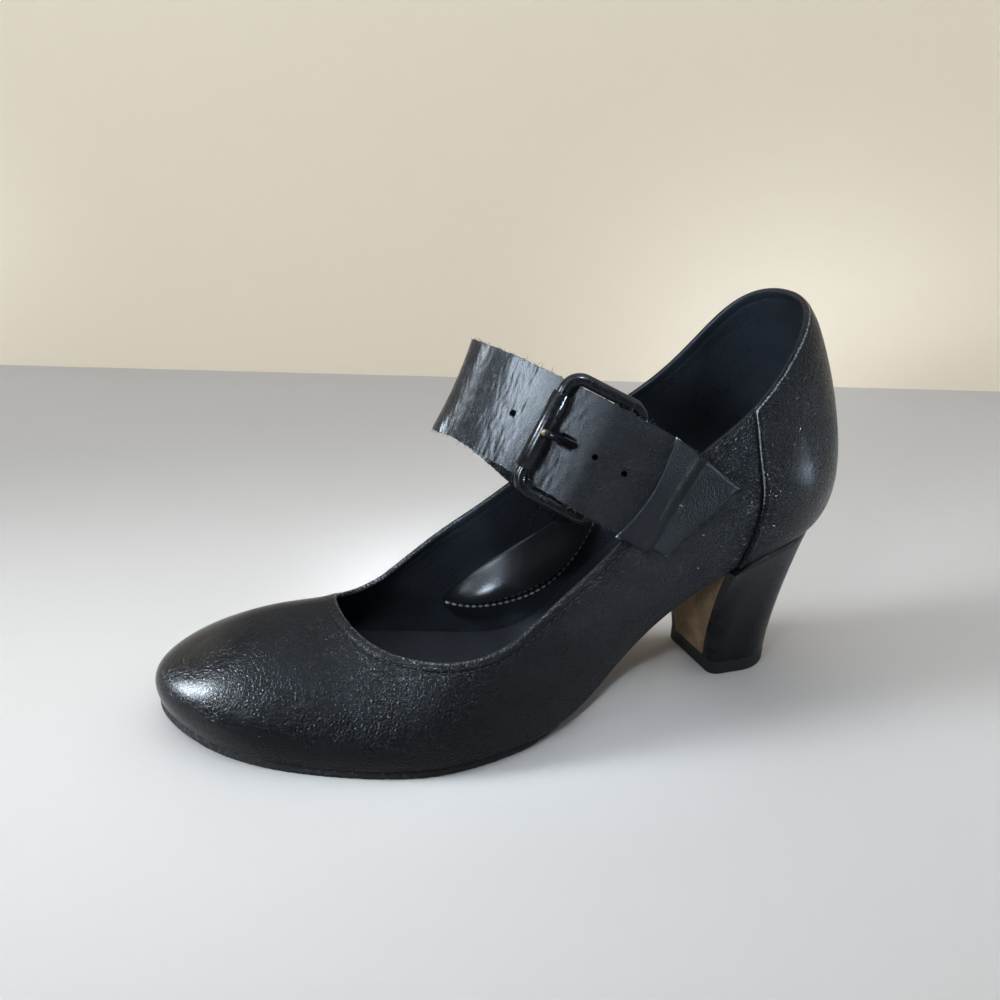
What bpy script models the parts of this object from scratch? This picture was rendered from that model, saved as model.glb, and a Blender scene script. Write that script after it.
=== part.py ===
"""A left mary jane pump on a block heel, standing on its sole.

The table of sections gives the last: for each section the feather line where the upper
turns under, on the outer and the inner side, and the crown on the middle line that both
walls climb to. All the leather pieces are read from that one surface.
+X runs to the toe, +Y to the wearer's left (the outer side), +Z up. Tables are in millimetres.
"""
from collections import namedtuple

import bmesh
import bpy
import numpy as np

MM = 0.001

# driving dimensions, millimetres
GAP = 0.3                 # between pieces that touch
WALL = 1.8                # leather and lining of the upper
MARGIN = 7.0              # upper turned in under the insole
TURN_RADIUS = 2.6         # of the fold where the upper turns under
THROAT_X = 170.0          # front of the opening, on the middle line
THROAT_ROUND = 6.0        # how softly the throat runs into the topline
SIDES_MEET = 12.0         # half the width over which the outer topline passes into the inner one
THROAT_BOW = 0.012        # how far the throat bows back away from the middle, per mm squared
COUNTER_THICKNESS = 1.0
COUNTER_SPAN = (0.03, 0.985)     # its lower and upper edge, as shares of the wall
INSOLE_THICKNESS = 2.0
INSOLE_INSET = 3.2        # from the feather line
LIFT_HEIGHT = 5.5
SEAT_EDGE = 1.2           # heel's top edge stands out from the feather line
BREAST_X = 44.0           # heel breast on the middle line, at the seat
BREAST_TURN = 0.10        # the breast faces a little to the outer side: slope in plan
HEEL_SWEEP = (1.7, 1.0)   # power of the curve from lift to seat, at the back and at the breast
HEEL_SIDES = 1.5          # and across

Section = namedtuple("Section", "crown outer_x outer_y inner_x inner_y flare wall round "
                                "inner_wall inner_round")
SECTIONS = [Section(*row) for row in (
    # crown outer_x outer_y inner_x inner_y flare wall round inner_wall inner_round
    (96, 5.4, 0, 5.4, 0, 29, 0.18, 0.50, 0.18, 0.50),                # heel back
    (97, 12, 17, 12, -17, 22, 0.20, 0.52, 0.20, 0.52),
    (100, 34, 25, 34, -25, 12, 0.28, 0.56, 0.28, 0.56),
    (106, 66, 26.2, 66, -24, 6, 0.42, 0.56, 0.36, 0.50),
    (116, 95, 32.5, 98, -22, 5, 0.48, 0.50, 0.35, 0.40),
    (132, 124, 40.5, 130, -30, 4, 0.48, 0.45, 0.29, 0.31),
    (152, 150, 42, 158, -38, 3.5, 0.48, 0.42, 0.29, 0.29),           # ball of the foot
    (175, 178, 34, 182, -40.5, 3, 0.52, 0.44, 0.31, 0.31),
    (194, 200, 23.5, 203, -35.5, 3, 0.58, 0.48, 0.42, 0.40),
    (206, 216.5, 10.5, 217.5, -30.5, 3, 0.60, 0.52, 0.48, 0.44),
    (210, 227.5, -11.5, 227.5, -11.5, 3, 0.62, 0.54, 0.62, 0.54),    # toe tip
)]

Profile = namedtuple("Profile", "x z")
# underside of the upper, along the shoe: seat, arch, ball, toe spring
FEATHER = [Profile(*row) for row in (
    (5, 57.5), (25, 54.5), (45, 47.5), (66, 34.5), (81, 21.8), (94, 10.2), (107, 4.3), (125, 2.8),
    (145, 2.5), (185, 2.5), (205, 3.7), (230, 7.7))]
# crown line of the last over the foot, from the side and in plan
CROWN = [Profile(*row) for row in (
    (80, 178), (98, 155), (112, 125), (130, 85), (150, 49.5), (168, 38.3), (183, 36.5), (195, 34),
    (205, 30.2), (210, 27.5))]
MIDDLE = [Profile(*row) for row in (
    (80, 0), (130, -4), (170, -8), (210, -12))]
Edge = namedtuple("Edge", "x outer inner")
# heights of the top edge of the quarters, seen from the side
TOPLINE = [Edge(*row) for row in (
    (5, 134, 134), (18, 135, 135), (30, 123, 123), (40, 110, 111), (60, 91.5, 96), (84, 66.5, 84.5),
    (108, 48.5, 68.5), (119, 41, 60.5), (131, 36.5, 52), (143, 34, 42), (155, 32, 33), (175, 30, 28))]

Seam = namedtuple("Seam", "z x")
# front edge of the heel counter, seen from the side
SEAM = [Seam(*row) for row in (
    (48, 41), (54, 39.7), (65, 37.5), (73, 36.6), (81, 37.2), (88, 38.9), (104, 42.4), (112, 44))]

Pad = namedtuple("Pad", "x low high")
# cushion under the arch: its lower and upper edge on the inner quarter, seen from the side
PAD = [Pad(*row) for row in (
    (72, 46, 62), (84, 30, 56), (92, 23.5, 51), (102, 19.5, 45), (115, 17.5, 36), (127, 18.5, 25))]
PAD_EDGE = 0.8
PAD_SWELL = 4.5

SoleRow = namedtuple("SoleRow", "x edge thickness")
# outsole: how far its edge stands out from the feather line, and its thickness
SOLE = [SoleRow(*row) for row in (
    (44, -6, 2.0), (70, -6, 2.0), (95, -3, 2.0), (115, -0.8, 2.2), (145, -0.4, 2.2), (230, -0.2, 2.2))]

HeelRow = namedtuple("HeelRow", "back_x front_x half_width corner")
LIFT_OUTLINE = HeelRow(11.0, 40.0, 14.5, 4.0)

Strap = namedtuple("Strap", "x y z width lean")
# middle of the strap, from its end in the keeper, under the roller, over the instep and
# down inside the inner quarter; its width leans back from upright by so many degrees
STRAP = [Strap(*row) for row in (
    (67.5, 30.2, 79.5, 34.0, 34),
    (76, 29.0, 85, 34.0, 34),
    (85, 21.5, 89.5, 34.0, 34),           # over the hinge bar
    (95, 11.5, 94, 33.8, 33),
    (104.3, 2, 98, 33.5, 31),             # under the roller
    (113, -6, 101.5, 33.0, 28),
    (119.5, -13, 104, 32.0, 26),
    (123.6, -20.5, 104.3, 31.5, 25),      # over the top
    (122.6, -26.8, 102, 31.5, 25),
    (116, -29, 97.5, 31.0, 27),
    (106.5, -21.5, 91, 31.0, 30),
    (96.5, -15.9, 82.3, 31.5, 33),
    (87, -14.6, 73.5, 32.0, 34),
    (78, -14.6, 65, 32.0, 34),            # sewn inside the quarter
)]
STRAP_THICKNESS = 1.6
STRAP_START = 0.55                    # its end in the keeper, as a place on the table
HINGE_ROW, ROLLER_ROW = 2.0, 3.7      # places on the strap's table
PRONG_ROW = 3.17                      # hole that the prong goes through

KEEPER_FRONT_LENGTH = 24.0
KEEPER_BACK_LENGTH = 34.0
KEEPER_TAPER = 5.5                    # upper side comes in by so much at the back
KEEPER_BOW = 2.5                      # mouth is cut back by so much in the middle
KEEPER_BULGE = 2.0                    # mouth arches off the strap by so much
KEEPER_ROW = 1.2                      # place of the mouth on the strap's table
KEEPER_STANDS = 8.5                   # part of it that stands off, beyond the topline
KEEPER_SLOPE = 7.0                    # part that comes down to the quarter
KEEPER_THICKNESS = 1.4
KEEPER_WIDER = 1.0                    # than the strap
KEEPER_CLEAR = 0.5                    # between the patch and the quarter

BUCKLE_WIDTH = 42.6                   # outside, across the strap
BUCKLE_CORNER = 5.0
BAR_RADIUS = 2.0
ROLLER_RADIUS = 2.9
ROLLER_LENGTH = 25.6
PRONG_RADIUS = 1.1
PRONG_SLOT = (3.7, 1.7)               # half length and half width of the prong's hole
PRONG_HOOK = range(140, 301, 20)      # degrees round the hinge bar
# the pin's middle, along the frame and out of it: from the hinge bar, then from the roller
PRONG_START = [(5, -3.2), (10, -3.3)]
PRONG_END = [(-11.5, -3.4), (-8.6, -2.6), (-6.2, -0.8), (-3.7, 2.4), (-1.6, 4.1), (0.8, 4.45)]
CHAPE_WIDTH = 25.0
CHAPE_THICKNESS = 1.2
CHAPE_SLOT = 6.0                      # width of the slot, and its ends along the frame and out of it
CHAPE_SLOT_ENDS = ((-5.4, -6), (6, -6), (6, 3.8), (-5.4, 3.8))
CHAPE_ARC = 112.0                     # degrees round the bar, to either side of its front
CHAPE_ROWS = (1.0, 1.3, 1.6)          # places on the strap's table that its layers lie under
CHAPE_PART = 4.4                      # how fast the layers part towards the bar, per row

Finish = namedtuple("Finish", "colour roughness metallic")
FINISHES = {
    "black_leather": Finish((0.012, 0.012, 0.015), 0.42, 0.0),
    "lining": Finish((0.010, 0.010, 0.011), 0.55, 0.0),
    "heel_cover": Finish((0.014, 0.014, 0.016), 0.50, 0.0),
    "black_rubber": Finish((0.010, 0.010, 0.010), 0.75, 0.0),
    "black_metal": Finish((0.008, 0.008, 0.008), 0.25, 0.0),
}


# curves

def spline(knots, values, at, period=None):
    """Cubic spline through values at the knots, read at `at`. It runs on straight past its
    ends, or closes on itself after `period`."""
    knots = np.asarray(knots, float)
    values = np.asarray(values, float)
    at = np.asarray(at, float)
    if period is not None:
        knots = np.concatenate([knots - period, knots, knots + period])
        values = np.concatenate([values, values, values])
        at = np.mod(at, period)
    wide = values.reshape(len(knots), -1)
    steps = np.diff(knots)
    rates = np.diff(wide, axis=0) / steps[:, None]
    matrix = np.eye(len(knots))
    right = np.zeros_like(wide)
    for i in range(1, len(knots) - 1):
        matrix[i, i - 1:i + 2] = steps[i - 1], 2 * (steps[i - 1] + steps[i]), steps[i]
        right[i] = 6 * (rates[i] - rates[i - 1])
    bend = np.linalg.solve(matrix, right)
    flat = at.ravel()
    inside = np.clip(flat, knots[0], knots[-1])
    k = np.clip(np.searchsorted(knots, inside) - 1, 0, len(steps) - 1)
    step = steps[k][:, None]
    before = (inside - knots[k])[:, None]
    after = step - before
    turn = bend[k + 1] * (3 * before**2 - step**2) - bend[k] * (3 * after**2 - step**2)
    curve = bend[k] * (after**3 - step**2 * after) + bend[k + 1] * (before**3 - step**2 * before)
    result = wide[k] + rates[k] * before + curve / (6 * step)
    result += (rates[k] + turn / (6 * step)) * (flat - inside)[:, None]
    return result.reshape(at.shape + values.shape[1:])


def profile(rows, x):
    """Height of a side-view curve at x."""
    return spline([row[0] for row in rows], [row[1] for row in rows], x)


def bed(x, distance):
    """Height at a distance square to the underside of the upper."""
    slope = profile(FEATHER, x + 0.5) - profile(FEATHER, x - 0.5)
    return profile(FEATHER, x) + distance * np.hypot(1, slope)


# surface of the last

TIP = len(SECTIONS) - 1           # station of the toe tip; the outer side runs from 0 to it
ROUND = 2 * TIP                   # stations once round the feather line
LOOP = [(s.outer_x, s.outer_y, s.crown, s.flare, s.wall, s.round) for s in SECTIONS]
LOOP += [(s.inner_x, s.inner_y, s.crown, s.flare, s.inner_wall, s.inner_round) for s in SECTIONS[-2:0:-1]]


def feather_line(station):
    """The loop's columns at each station: x, y, crown, flare, wall, round."""
    return spline(np.arange(ROUND), LOOP, station, ROUND)


def outward(station):
    """Unit vector in plan that points away from the foot, square to the feather line."""
    step = 1e-3
    ahead = feather_line(station + step) - feather_line(station - step)
    side = np.stack([-ahead[..., 1], ahead[..., 0]], -1)
    return side / np.linalg.norm(side, axis=-1, keepdims=True)


def skin(station, rise):
    """Outside of the upper. Rise -2 to -1 is the margin under the insole, -1 to 0 the turn,
    and 0 to 1 the wall, from the feather line to the crown."""
    station, rise = np.broadcast_arrays(np.asarray(station, float), np.asarray(rise, float))
    x, y, crown, flare, wall, rounding = np.moveaxis(feather_line(station), -1, 0)
    out = outward(station)
    place = np.stack([x, y], -1)
    # margin and turn: distance in from the feather line, and height over the underside
    angle = np.clip(rise + 1, 0, 1) * np.pi / 2
    inset = TURN_RADIUS * (1 - np.sin(angle)) + MARGIN * np.clip(-1 - rise, 0, 1)
    under = place - out * inset[..., None]
    height = profile(FEATHER, under[..., 0]) + TURN_RADIUS * (1 - np.cos(angle))
    low = np.concatenate([under, height[..., None]], -1)
    # wall: a cubic from the top of the turn, up and out, then over to the crown
    start = np.concatenate([place, (profile(FEATHER, x) + TURN_RADIUS)[..., None]], -1)
    top = np.stack([crown, profile(MIDDLE, crown), profile(CROWN, crown)], -1)
    climb = (top - start)[..., 2]
    across = top - start
    slope = profile(CROWN, crown + 0.5) - profile(CROWN, crown - 0.5)
    across[..., 2] = slope * across[..., 0]
    lift = np.concatenate([out * flare[..., None], (wall * climb)[..., None]], -1)
    first = start + lift
    second = top - across * rounding[..., None]
    t = np.clip(rise, 0, 1)[..., None]
    high = (1 - t)**3 * start + 3 * t * (1 - t)**2 * first + 3 * t**2 * (1 - t) * second + t**3 * top
    return np.where(rise[..., None] < 0, low, high)


def skin_normal(station, rise):
    """Unit vector that points out of the upper."""
    station, rise = np.broadcast_arrays(np.asarray(station, float), np.asarray(rise, float))
    step = 1e-3
    rise = np.minimum(rise, 0.99)
    low, high = np.maximum(rise - step, -2), rise + step
    along = skin(station + step, rise) - skin(station - step, rise)
    up = skin(station, high) - skin(station, low)
    normal = np.cross(up, along)
    return normal / np.linalg.norm(normal, axis=-1, keepdims=True)


def opening(point):
    """Above zero where the foot goes in: over the topline and behind the throat."""
    aside = point[..., 1] - profile(MIDDLE, point[..., 0])
    heights = spline([row.x for row in TOPLINE], [row[1:] for row in TOPLINE], point[..., 0])
    share = (1 + np.tanh(aside / SIDES_MEET)) / 2
    over = point[..., 2] - heights[..., 0] * share - heights[..., 1] * (1 - share)
    behind = THROAT_X - THROAT_BOW * aside**2 - point[..., 0]
    return (over + behind - np.hypot(over - behind, THROAT_ROUND)) / 2


def bisect(test, low, high):
    """Where the test first turns true between low and high."""
    for _ in range(40):
        middle = (low + high) / 2
        low, high = (low, middle) if test(middle) else (middle, high)
    return (low + high) / 2


def throat_station():
    """Station whose column meets the front of the opening on the middle line."""
    return bisect(lambda station: opening(skin(station, 1.0)) < 0, 3.0, TIP - 1.0)


def top_rise(station):
    """Rise at which a column of the quarters is cut by the topline."""
    rises = np.linspace(0, 1, 200)
    first = int(np.argmax(opening(skin(np.full(200, station), rises)) > 0))
    return bisect(lambda rise: opening(skin(station, rise)) > 0, rises[first - 1], rises[first])


# solids

def add_solid(name, points, faces, finish):
    """One closed body from points in millimetres, with its faces turned out."""
    mesh = bpy.data.meshes.new(name)
    mesh.from_pydata((np.asarray(points) * MM).tolist(), [], faces)
    body = bmesh.new()
    body.from_mesh(mesh)
    bmesh.ops.remove_doubles(body, verts=body.verts, dist=1e-6)
    bmesh.ops.dissolve_degenerate(body, edges=body.edges, dist=1e-6)
    bmesh.ops.triangulate(body, faces=body.faces)
    bmesh.ops.recalc_face_normals(body, faces=body.faces)
    body.to_mesh(mesh)
    body.free()
    mesh.shade_smooth()
    mesh.set_sharp_from_angle(angle=np.radians(35))
    mesh.materials.append(material(finish))
    piece = bpy.data.objects.new(name, mesh)
    bpy.context.scene.collection.objects.link(piece)
    return piece


def material(finish):
    """The finish's Principled material, made once."""
    if finish in bpy.data.materials:
        return bpy.data.materials[finish]
    made = bpy.data.materials.new(finish)
    made.use_nodes = True
    shader = made.node_tree.nodes["Principled BSDF"]
    shader.inputs["Base Color"].default_value = (*FINISHES[finish].colour, 1)
    shader.inputs["Roughness"].default_value = FINISHES[finish].roughness
    shader.inputs["Metallic"].default_value = FINISHES[finish].metallic
    return made


def grid_faces(columns, closed):
    """Quads between neighbouring columns of point numbers."""
    pairs = list(zip(columns, columns[1:]))
    if closed:
        pairs.append((columns[-1], columns[0]))
    return [(a[i], a[i + 1], b[i + 1], b[i]) for a, b in pairs for i in range(len(a) - 1)]


def loft(rings, cap=True):
    """Quads between closed rings of point numbers, with a fan-free cap at each end."""
    faces = []
    for low, high in zip(rings, rings[1:]):
        count = len(low)
        faces += [(low[i], low[(i + 1) % count], high[(i + 1) % count], high[i]) for i in range(count)]
    if cap:
        faces += [tuple(rings[0]), tuple(rings[-1])]
    return faces


def upper():
    """Vamp and quarters in one wall: columns from the margin to the topline, or over the vamp
    to the middle line, where the two sides share their points."""
    quarter_columns, vamp_columns, wall_rows = 28, 11, 10
    throat = throat_station()
    quarter = [throat * (1 - (1 - i / quarter_columns)**1.6) for i in range(quarter_columns)]
    vamp = [throat + (TIP - throat) * i / vamp_columns for i in range(vamp_columns + 1)]
    lows = [-2, -1, -0.66, -0.33]
    stations, rises, sides = [], [], []
    for index, along in enumerate(quarter + vamp):
        for side, station in (("outer", along), ("inner", ROUND - along)):
            if side == "inner" and along in (0, TIP):
                continue
            top = top_rise(station) if along < throat else 1.0
            stations.append(station % ROUND)
            rises.append(lows + [top * row / wall_rows for row in range(wall_rows + 1)])
            sides.append((side, index))
    order = np.argsort(stations)
    stations = np.array(stations)[order]
    rises = np.array(rises)[order]
    sides = [sides[i] for i in order]
    outside = skin(stations[:, None], rises)
    inside = outside - WALL * skin_normal(stations[:, None], rises)
    rows = rises.shape[1]
    count = len(stations)
    columns = np.arange(count * rows).reshape(count, rows)
    # the two sides of the vamp share their crown points
    place = {key: i for i, key in enumerate(sides)}
    for index in range(quarter_columns, quarter_columns + vamp_columns):
        columns[place["inner", index], -1] = columns[place["outer", index], -1]
    faces = grid_faces(columns.tolist(), True)
    shift = count * rows
    faces += [tuple(n + shift for n in face) for face in faces]
    rim = columns[:, 0].tolist()
    faces += grid_faces([[n, n + shift] for n in rim], True)
    outer_edge = [columns[place["outer", i], -1] for i in range(quarter_columns + 1)]
    inner_edge = [columns[place["inner", i], -1] for i in range(quarter_columns - 1, 0, -1)]
    faces += grid_faces([[n, n + shift] for n in outer_edge + inner_edge], True)
    points = np.concatenate([outside.reshape(-1, 3), inside.reshape(-1, 3)])
    return add_solid("upper", points, faces, "black_leather")


def side_lines(edge):
    """The outer and the inner side line, moved out by edge(x), each as x and y rows."""
    stations = np.linspace(0, ROUND, 481)
    line = feather_line(stations)[:, :2]
    line = line + outward(stations) * edge(line[:, 0])[:, None]
    half = len(stations) // 2
    return line[:half + 1], line[:half - 1:-1]


def strip(name, finish, edge, starts, stops, top, bottom, count, turn=0.0):
    """A flat piece along the shoe, from x = starts to stops: its sides follow the feather line,
    and its top and bottom are functions of x. The back end is turned by a slope in plan."""
    outer, inner = side_lines(edge)
    back = max(outer[0, 0], starts)
    front = min(outer[-1, 0], stops)
    points = []
    for i in range(count + 1):
        fraction = i / count
        if back > outer[0, 0]:
            x = back + (front - back) * np.sin(fraction * np.pi / 2)
        else:
            x = back + (front - back) * (1 - np.cos(fraction * np.pi)) / 2
        for line in (outer, inner):
            y = np.interp(x, line[:, 0], line[:, 1])
            place = x - turn * y * max(0.0, 1 - (x - back) / 20)
            points.append((place, y, top(place)))
            points.append((place, y, bottom(place)))
    rings = [[4 * i, 4 * i + 2, 4 * i + 3, 4 * i + 1] for i in range(count + 1)]
    return add_solid(name, points, loft(rings), finish)


def outsole():
    """Thin sole from the breast to the toe, flat on the floor under the ball."""
    knots = [row.x for row in SOLE]
    return strip("outsole", "black_rubber",
                 lambda x: np.interp(x, knots, [row.edge for row in SOLE]), BREAST_X + GAP + 1.0, 300,
                 lambda x: bed(x, -GAP),
                 lambda x: max(0.0, bed(x, -GAP - np.interp(x, knots, [row.thickness for row in SOLE]))),
                 44, BREAST_TURN)


def insole():
    """Board and sock, on the upper's margin."""
    return strip("insole", "lining", lambda x: np.full_like(x, -INSOLE_INSET), -50, 300,
                 lambda x: bed(x, WALL + GAP + INSOLE_THICKNESS), lambda x: bed(x, WALL + GAP), 40)


def lift_half(row, side, count):
    """Half of a lift outline, from the back centre to the breast: a round back, a straight side
    and a rounded corner."""
    middle = row.back_x + row.half_width
    turned = row.front_x - side * BREAST_TURN * row.half_width
    points = []
    for i in range(count + 1):
        angle = np.pi / 2 * i / count
        points.append((middle - row.half_width * np.cos(angle), side * row.half_width * np.sin(angle)))
    for i in range(1, 4):
        points.append((middle + (turned - row.corner - middle) * i / 3, side * row.half_width))
    for i in range(1, 4):
        angle = np.pi / 2 * i / 3
        points.append((turned - row.corner * (1 - np.sin(angle)),
                       side * (row.half_width - row.corner * (1 - np.cos(angle)))))
    return np.array(points)


def heel_pieces():
    """The heel block, from the seat down to a smaller lift outline, and the lift under it."""
    arc = 10
    halves = {side: lift_half(LIFT_OUTLINE, side, arc) for side in (1, -1)}
    count = len(halves[1])
    tops = {}
    for side in (1, -1):
        line = side_lines(lambda x: np.full_like(x, SEAT_EDGE))[0 if side > 0 else 1]
        reach = np.argmax(line[:, 0] > BREAST_X - BREAST_TURN * line[:, 1])
        run = np.concatenate([[0], np.cumsum(np.linalg.norm(np.diff(line[:reach + 1], axis=0), axis=1))])
        spread = np.linspace(0, run[-1], count)
        tops[side] = np.stack([np.interp(spread, run, line[:reach + 1, 0]),
                               np.interp(spread, run, line[:reach + 1, 1])], 1)
    rings, points = [], []
    levels = 8
    for level in range(levels + 1):
        height = level / levels
        ring = []
        for side in (1, -1):
            low, high = halves[side], tops[side]
            seat = bed(high[:, 0], -GAP)
            power = np.linspace(*HEEL_SWEEP, count)
            x = low[:, 0] + (high[:, 0] - low[:, 0]) * height**power
            y = low[:, 1] + (high[:, 1] - low[:, 1]) * height**HEEL_SIDES
            z = LIFT_HEIGHT + (seat - LIFT_HEIGHT) * height
            half = np.stack([x, y, z], 1)
            ring.append(half if side > 0 else half[:0:-1])
        ring = np.concatenate(ring)
        rings.append(list(range(len(points), len(points) + len(ring))))
        points += ring.tolist()
    faces = loft(rings, False)
    faces += paired_cap(rings[0]) + paired_cap(rings[-1])
    add_solid("heel", points, faces, "heel_cover")
    outline = np.concatenate([halves[1], halves[-1][:0:-1]])
    flat = [[(x, y, z) for x, y in outline] for z in (0.0, LIFT_HEIGHT - GAP)]
    rings = [list(range(len(outline))), list(range(len(outline), 2 * len(outline)))]
    faces = loft(rings, False) + paired_cap(rings[0]) + paired_cap(rings[1])
    add_solid("top_lift", flat[0] + flat[1], faces, "black_rubber")


def paired_cap(ring):
    """Strips across a ring that starts on the middle line and runs round both sides."""
    count = len(ring)
    faces = [(ring[0], ring[1], ring[-1])]
    for i in range(1, count // 2):
        faces.append((ring[i], ring[i + 1], ring[count - i - 1], ring[count - i]))
    return faces


def unit(vector):
    """The vector at length one."""
    return vector / np.linalg.norm(vector, axis=-1, keepdims=True)


def strap_frame(row):
    """Place on the strap's middle, and unit vectors along it, across it and out of it."""
    table = np.array(STRAP)[:, :3]
    knots = np.arange(len(STRAP))
    row = np.asarray(row, float)
    place = spline(knots, table, row)
    along = unit(spline(knots, table, row + 0.01) - spline(knots, table, row - 0.01))
    lean = np.radians(spline(knots, [row.lean for row in STRAP], row))
    across = np.stack([-np.sin(lean), 0 * lean, np.cos(lean)], -1)
    across = unit(across - (along * across).sum(-1, keepdims=True) * along)
    return place, along, across, np.cross(across, along)


def strap():
    """One long band with its prong hole cut through."""
    rows = np.linspace(STRAP_START, len(STRAP) - 1, 5 * (len(STRAP) - 1) + 1)
    place, _, across, out = strap_frame(rows)
    half = spline(np.arange(len(STRAP)), [row.width / 2 for row in STRAP], rows)[:, None]
    thick = STRAP_THICKNESS / 2
    corners = [place - across * half + out * thick, place + across * half + out * thick,
               place + across * half - out * thick, place - across * half - out * thick]
    points = np.stack(corners, 1).reshape(-1, 3)
    rings = np.arange(len(points)).reshape(-1, 4).tolist()
    piece = add_solid("strap", points, loft(rings), "black_leather")
    place, along, across, out = strap_frame(PRONG_ROW)
    drill = tube([place - 4 * out, place + 4 * out], [PRONG_SLOT] * 2, 12, along)
    cut(piece, add_solid("strap_hole_cutter", *drill, "black_leather"))


def cut(piece, cutter):
    """Take the cutter's body out of a piece and leave the cutter as a hidden guide."""
    cutter.hide_render = True
    cutter.display_type = "WIRE"
    modifier = piece.modifiers.new("cut", "BOOLEAN")
    modifier.operation = "DIFFERENCE"
    modifier.object = cutter


def tube(path, radii, sides, first_side, closed=False):
    """Points and faces of a round bar along a path. The radii may be single numbers or pairs,
    the second one square to first_side."""
    path = np.array(path, float)
    if closed:
        ahead = unit(np.roll(path, -1, 0) - np.roll(path, 1, 0))
    else:
        ahead = unit(np.gradient(path, axis=0))
    points, rings = [], []
    for place, direction, radius in zip(path, ahead, radii):
        wide, high = radius if np.ndim(radius) else (radius, radius)
        side = unit(np.array(first_side) - (direction @ first_side) * direction)
        up = np.cross(direction, side)
        angles = np.arange(sides) * 2 * np.pi / sides
        rings.append(list(range(len(points), len(points) + sides)))
        points += [place + wide * np.cos(angle) * side + high * np.sin(angle) * up for angle in angles]
    if closed:
        return points, loft(rings + rings[:1], False)
    return points, loft(rings)


def buckle_axes():
    """Middles of the hinge bar and of the roller bar, and the frame's own directions."""
    hinge, _, across, out = strap_frame(HINGE_ROW)
    hinge = hinge - out * (STRAP_THICKNESS / 2 + 2 * GAP + CHAPE_THICKNESS + BAR_RADIUS)
    roller, _, _, out = strap_frame(ROLLER_ROW)
    roller = roller + out * (STRAP_THICKNESS / 2 + 2 * GAP + ROLLER_RADIUS)
    along = unit(roller - hinge)
    across = unit(across - (across @ along) * along)
    return hinge, roller, along, across, np.cross(across, along)


def buckle():
    """Rectangular frame, the roller on its front bar, and the prong on its hinge bar."""
    hinge, roller, along, across, out = buckle_axes()
    length = np.linalg.norm(roller - hinge)
    half = BUCKLE_WIDTH / 2 - BAR_RADIUS
    path = []
    for sign_along, sign_across, start in ((1, 1, 0), (1, -1, 1), (-1, -1, 2), (-1, 1, 3)):
        centre_along = length / 2 + sign_along * (length / 2 - BUCKLE_CORNER)
        centre_across = sign_across * (half - BUCKLE_CORNER)
        for step in range(5):
            angle = np.pi / 2 * (1 - start - step / 4)
            path.append(hinge + along * (centre_along + BUCKLE_CORNER * np.cos(angle))
                        + across * (centre_across + BUCKLE_CORNER * np.sin(angle)))
    add_solid("buckle_frame", *tube(path, [BAR_RADIUS] * len(path), 10, out, True), "black_metal")
    ends = [roller - across * ROLLER_LENGTH / 2, roller + across * ROLLER_LENGTH / 2]
    outside, _ = tube(ends, [ROLLER_RADIUS] * 2, 16, along)
    inside, _ = tube(ends, [BAR_RADIUS + GAP] * 2, 16, along)
    rings = [list(range(0, 16)), list(range(16, 32)), list(range(48, 64)), list(range(32, 48))]
    add_solid("buckle_roller", outside + inside, loft(rings + rings[:1], False), "black_metal")
    prong(hinge, roller, along, out)


def prong(hinge, roller, along, out):
    """Pin hooked round the back of the hinge bar, up through the strap and on to the roller."""
    turn = BAR_RADIUS + GAP + PRONG_RADIUS
    reach = np.linalg.norm(roller - hinge)
    path = [(turn * np.cos(np.radians(angle)), turn * np.sin(np.radians(angle))) for angle in PRONG_HOOK]
    path += PRONG_START + [(reach + a, o) for a, o in PRONG_END]
    middle = [hinge + along * a + out * o for a, o in path]
    radii = [PRONG_RADIUS] * (len(path) - 1) + [0.7 * PRONG_RADIUS]
    add_solid("buckle_prong", *tube(middle, radii, 8, np.cross(along, out)), "black_metal")


def on_skin(x, z, station):
    """Station and rise of a place given in the side view, looked for from a station near it."""
    spot = np.array([station, 0.35])
    step = 1e-3
    for _ in range(30):
        here = skin(*spot)[[0, 2]]
        slopes = np.stack([(skin(spot[0] + step, spot[1])[[0, 2]] - here) / step,
                           (skin(spot[0], spot[1] + step)[[0, 2]] - here) / step], 1)
        spot = spot + np.clip(np.linalg.solve(slopes, np.array([x, z]) - here), -0.2, 0.2)
    return spot


def arch_pad():
    """Cushion on the inside of the inner quarter, thin at its sewn edge."""
    knots = [row.x for row in PAD]
    long_rows, high_rows = 14, 8
    points = []
    station = ROUND - 5.5
    for i in range(long_rows + 1):
        x = PAD[0].x + (PAD[-1].x - PAD[0].x) * i / long_rows
        low, high = spline(knots, [(row.low, row.high) for row in PAD], x)
        for j in range(high_rows + 1):
            spot = on_skin(x, low + (high - low) * j / high_rows, station)
            swell = (1 - (2 * i / long_rows - 1)**4) * (1 - (2 * j / high_rows - 1)**2)
            ground, normal = skin(*spot), skin_normal(*spot)
            thick = PAD_EDGE + (PAD_SWELL - PAD_EDGE) * swell
            points += [ground - normal * (WALL + GAP), ground - normal * (WALL + GAP + thick)]
    numbers = np.arange(len(points)).reshape(long_rows + 1, high_rows + 1, 2)
    add_solid("arch_pad", points, sheet_faces(numbers), "lining")


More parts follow.
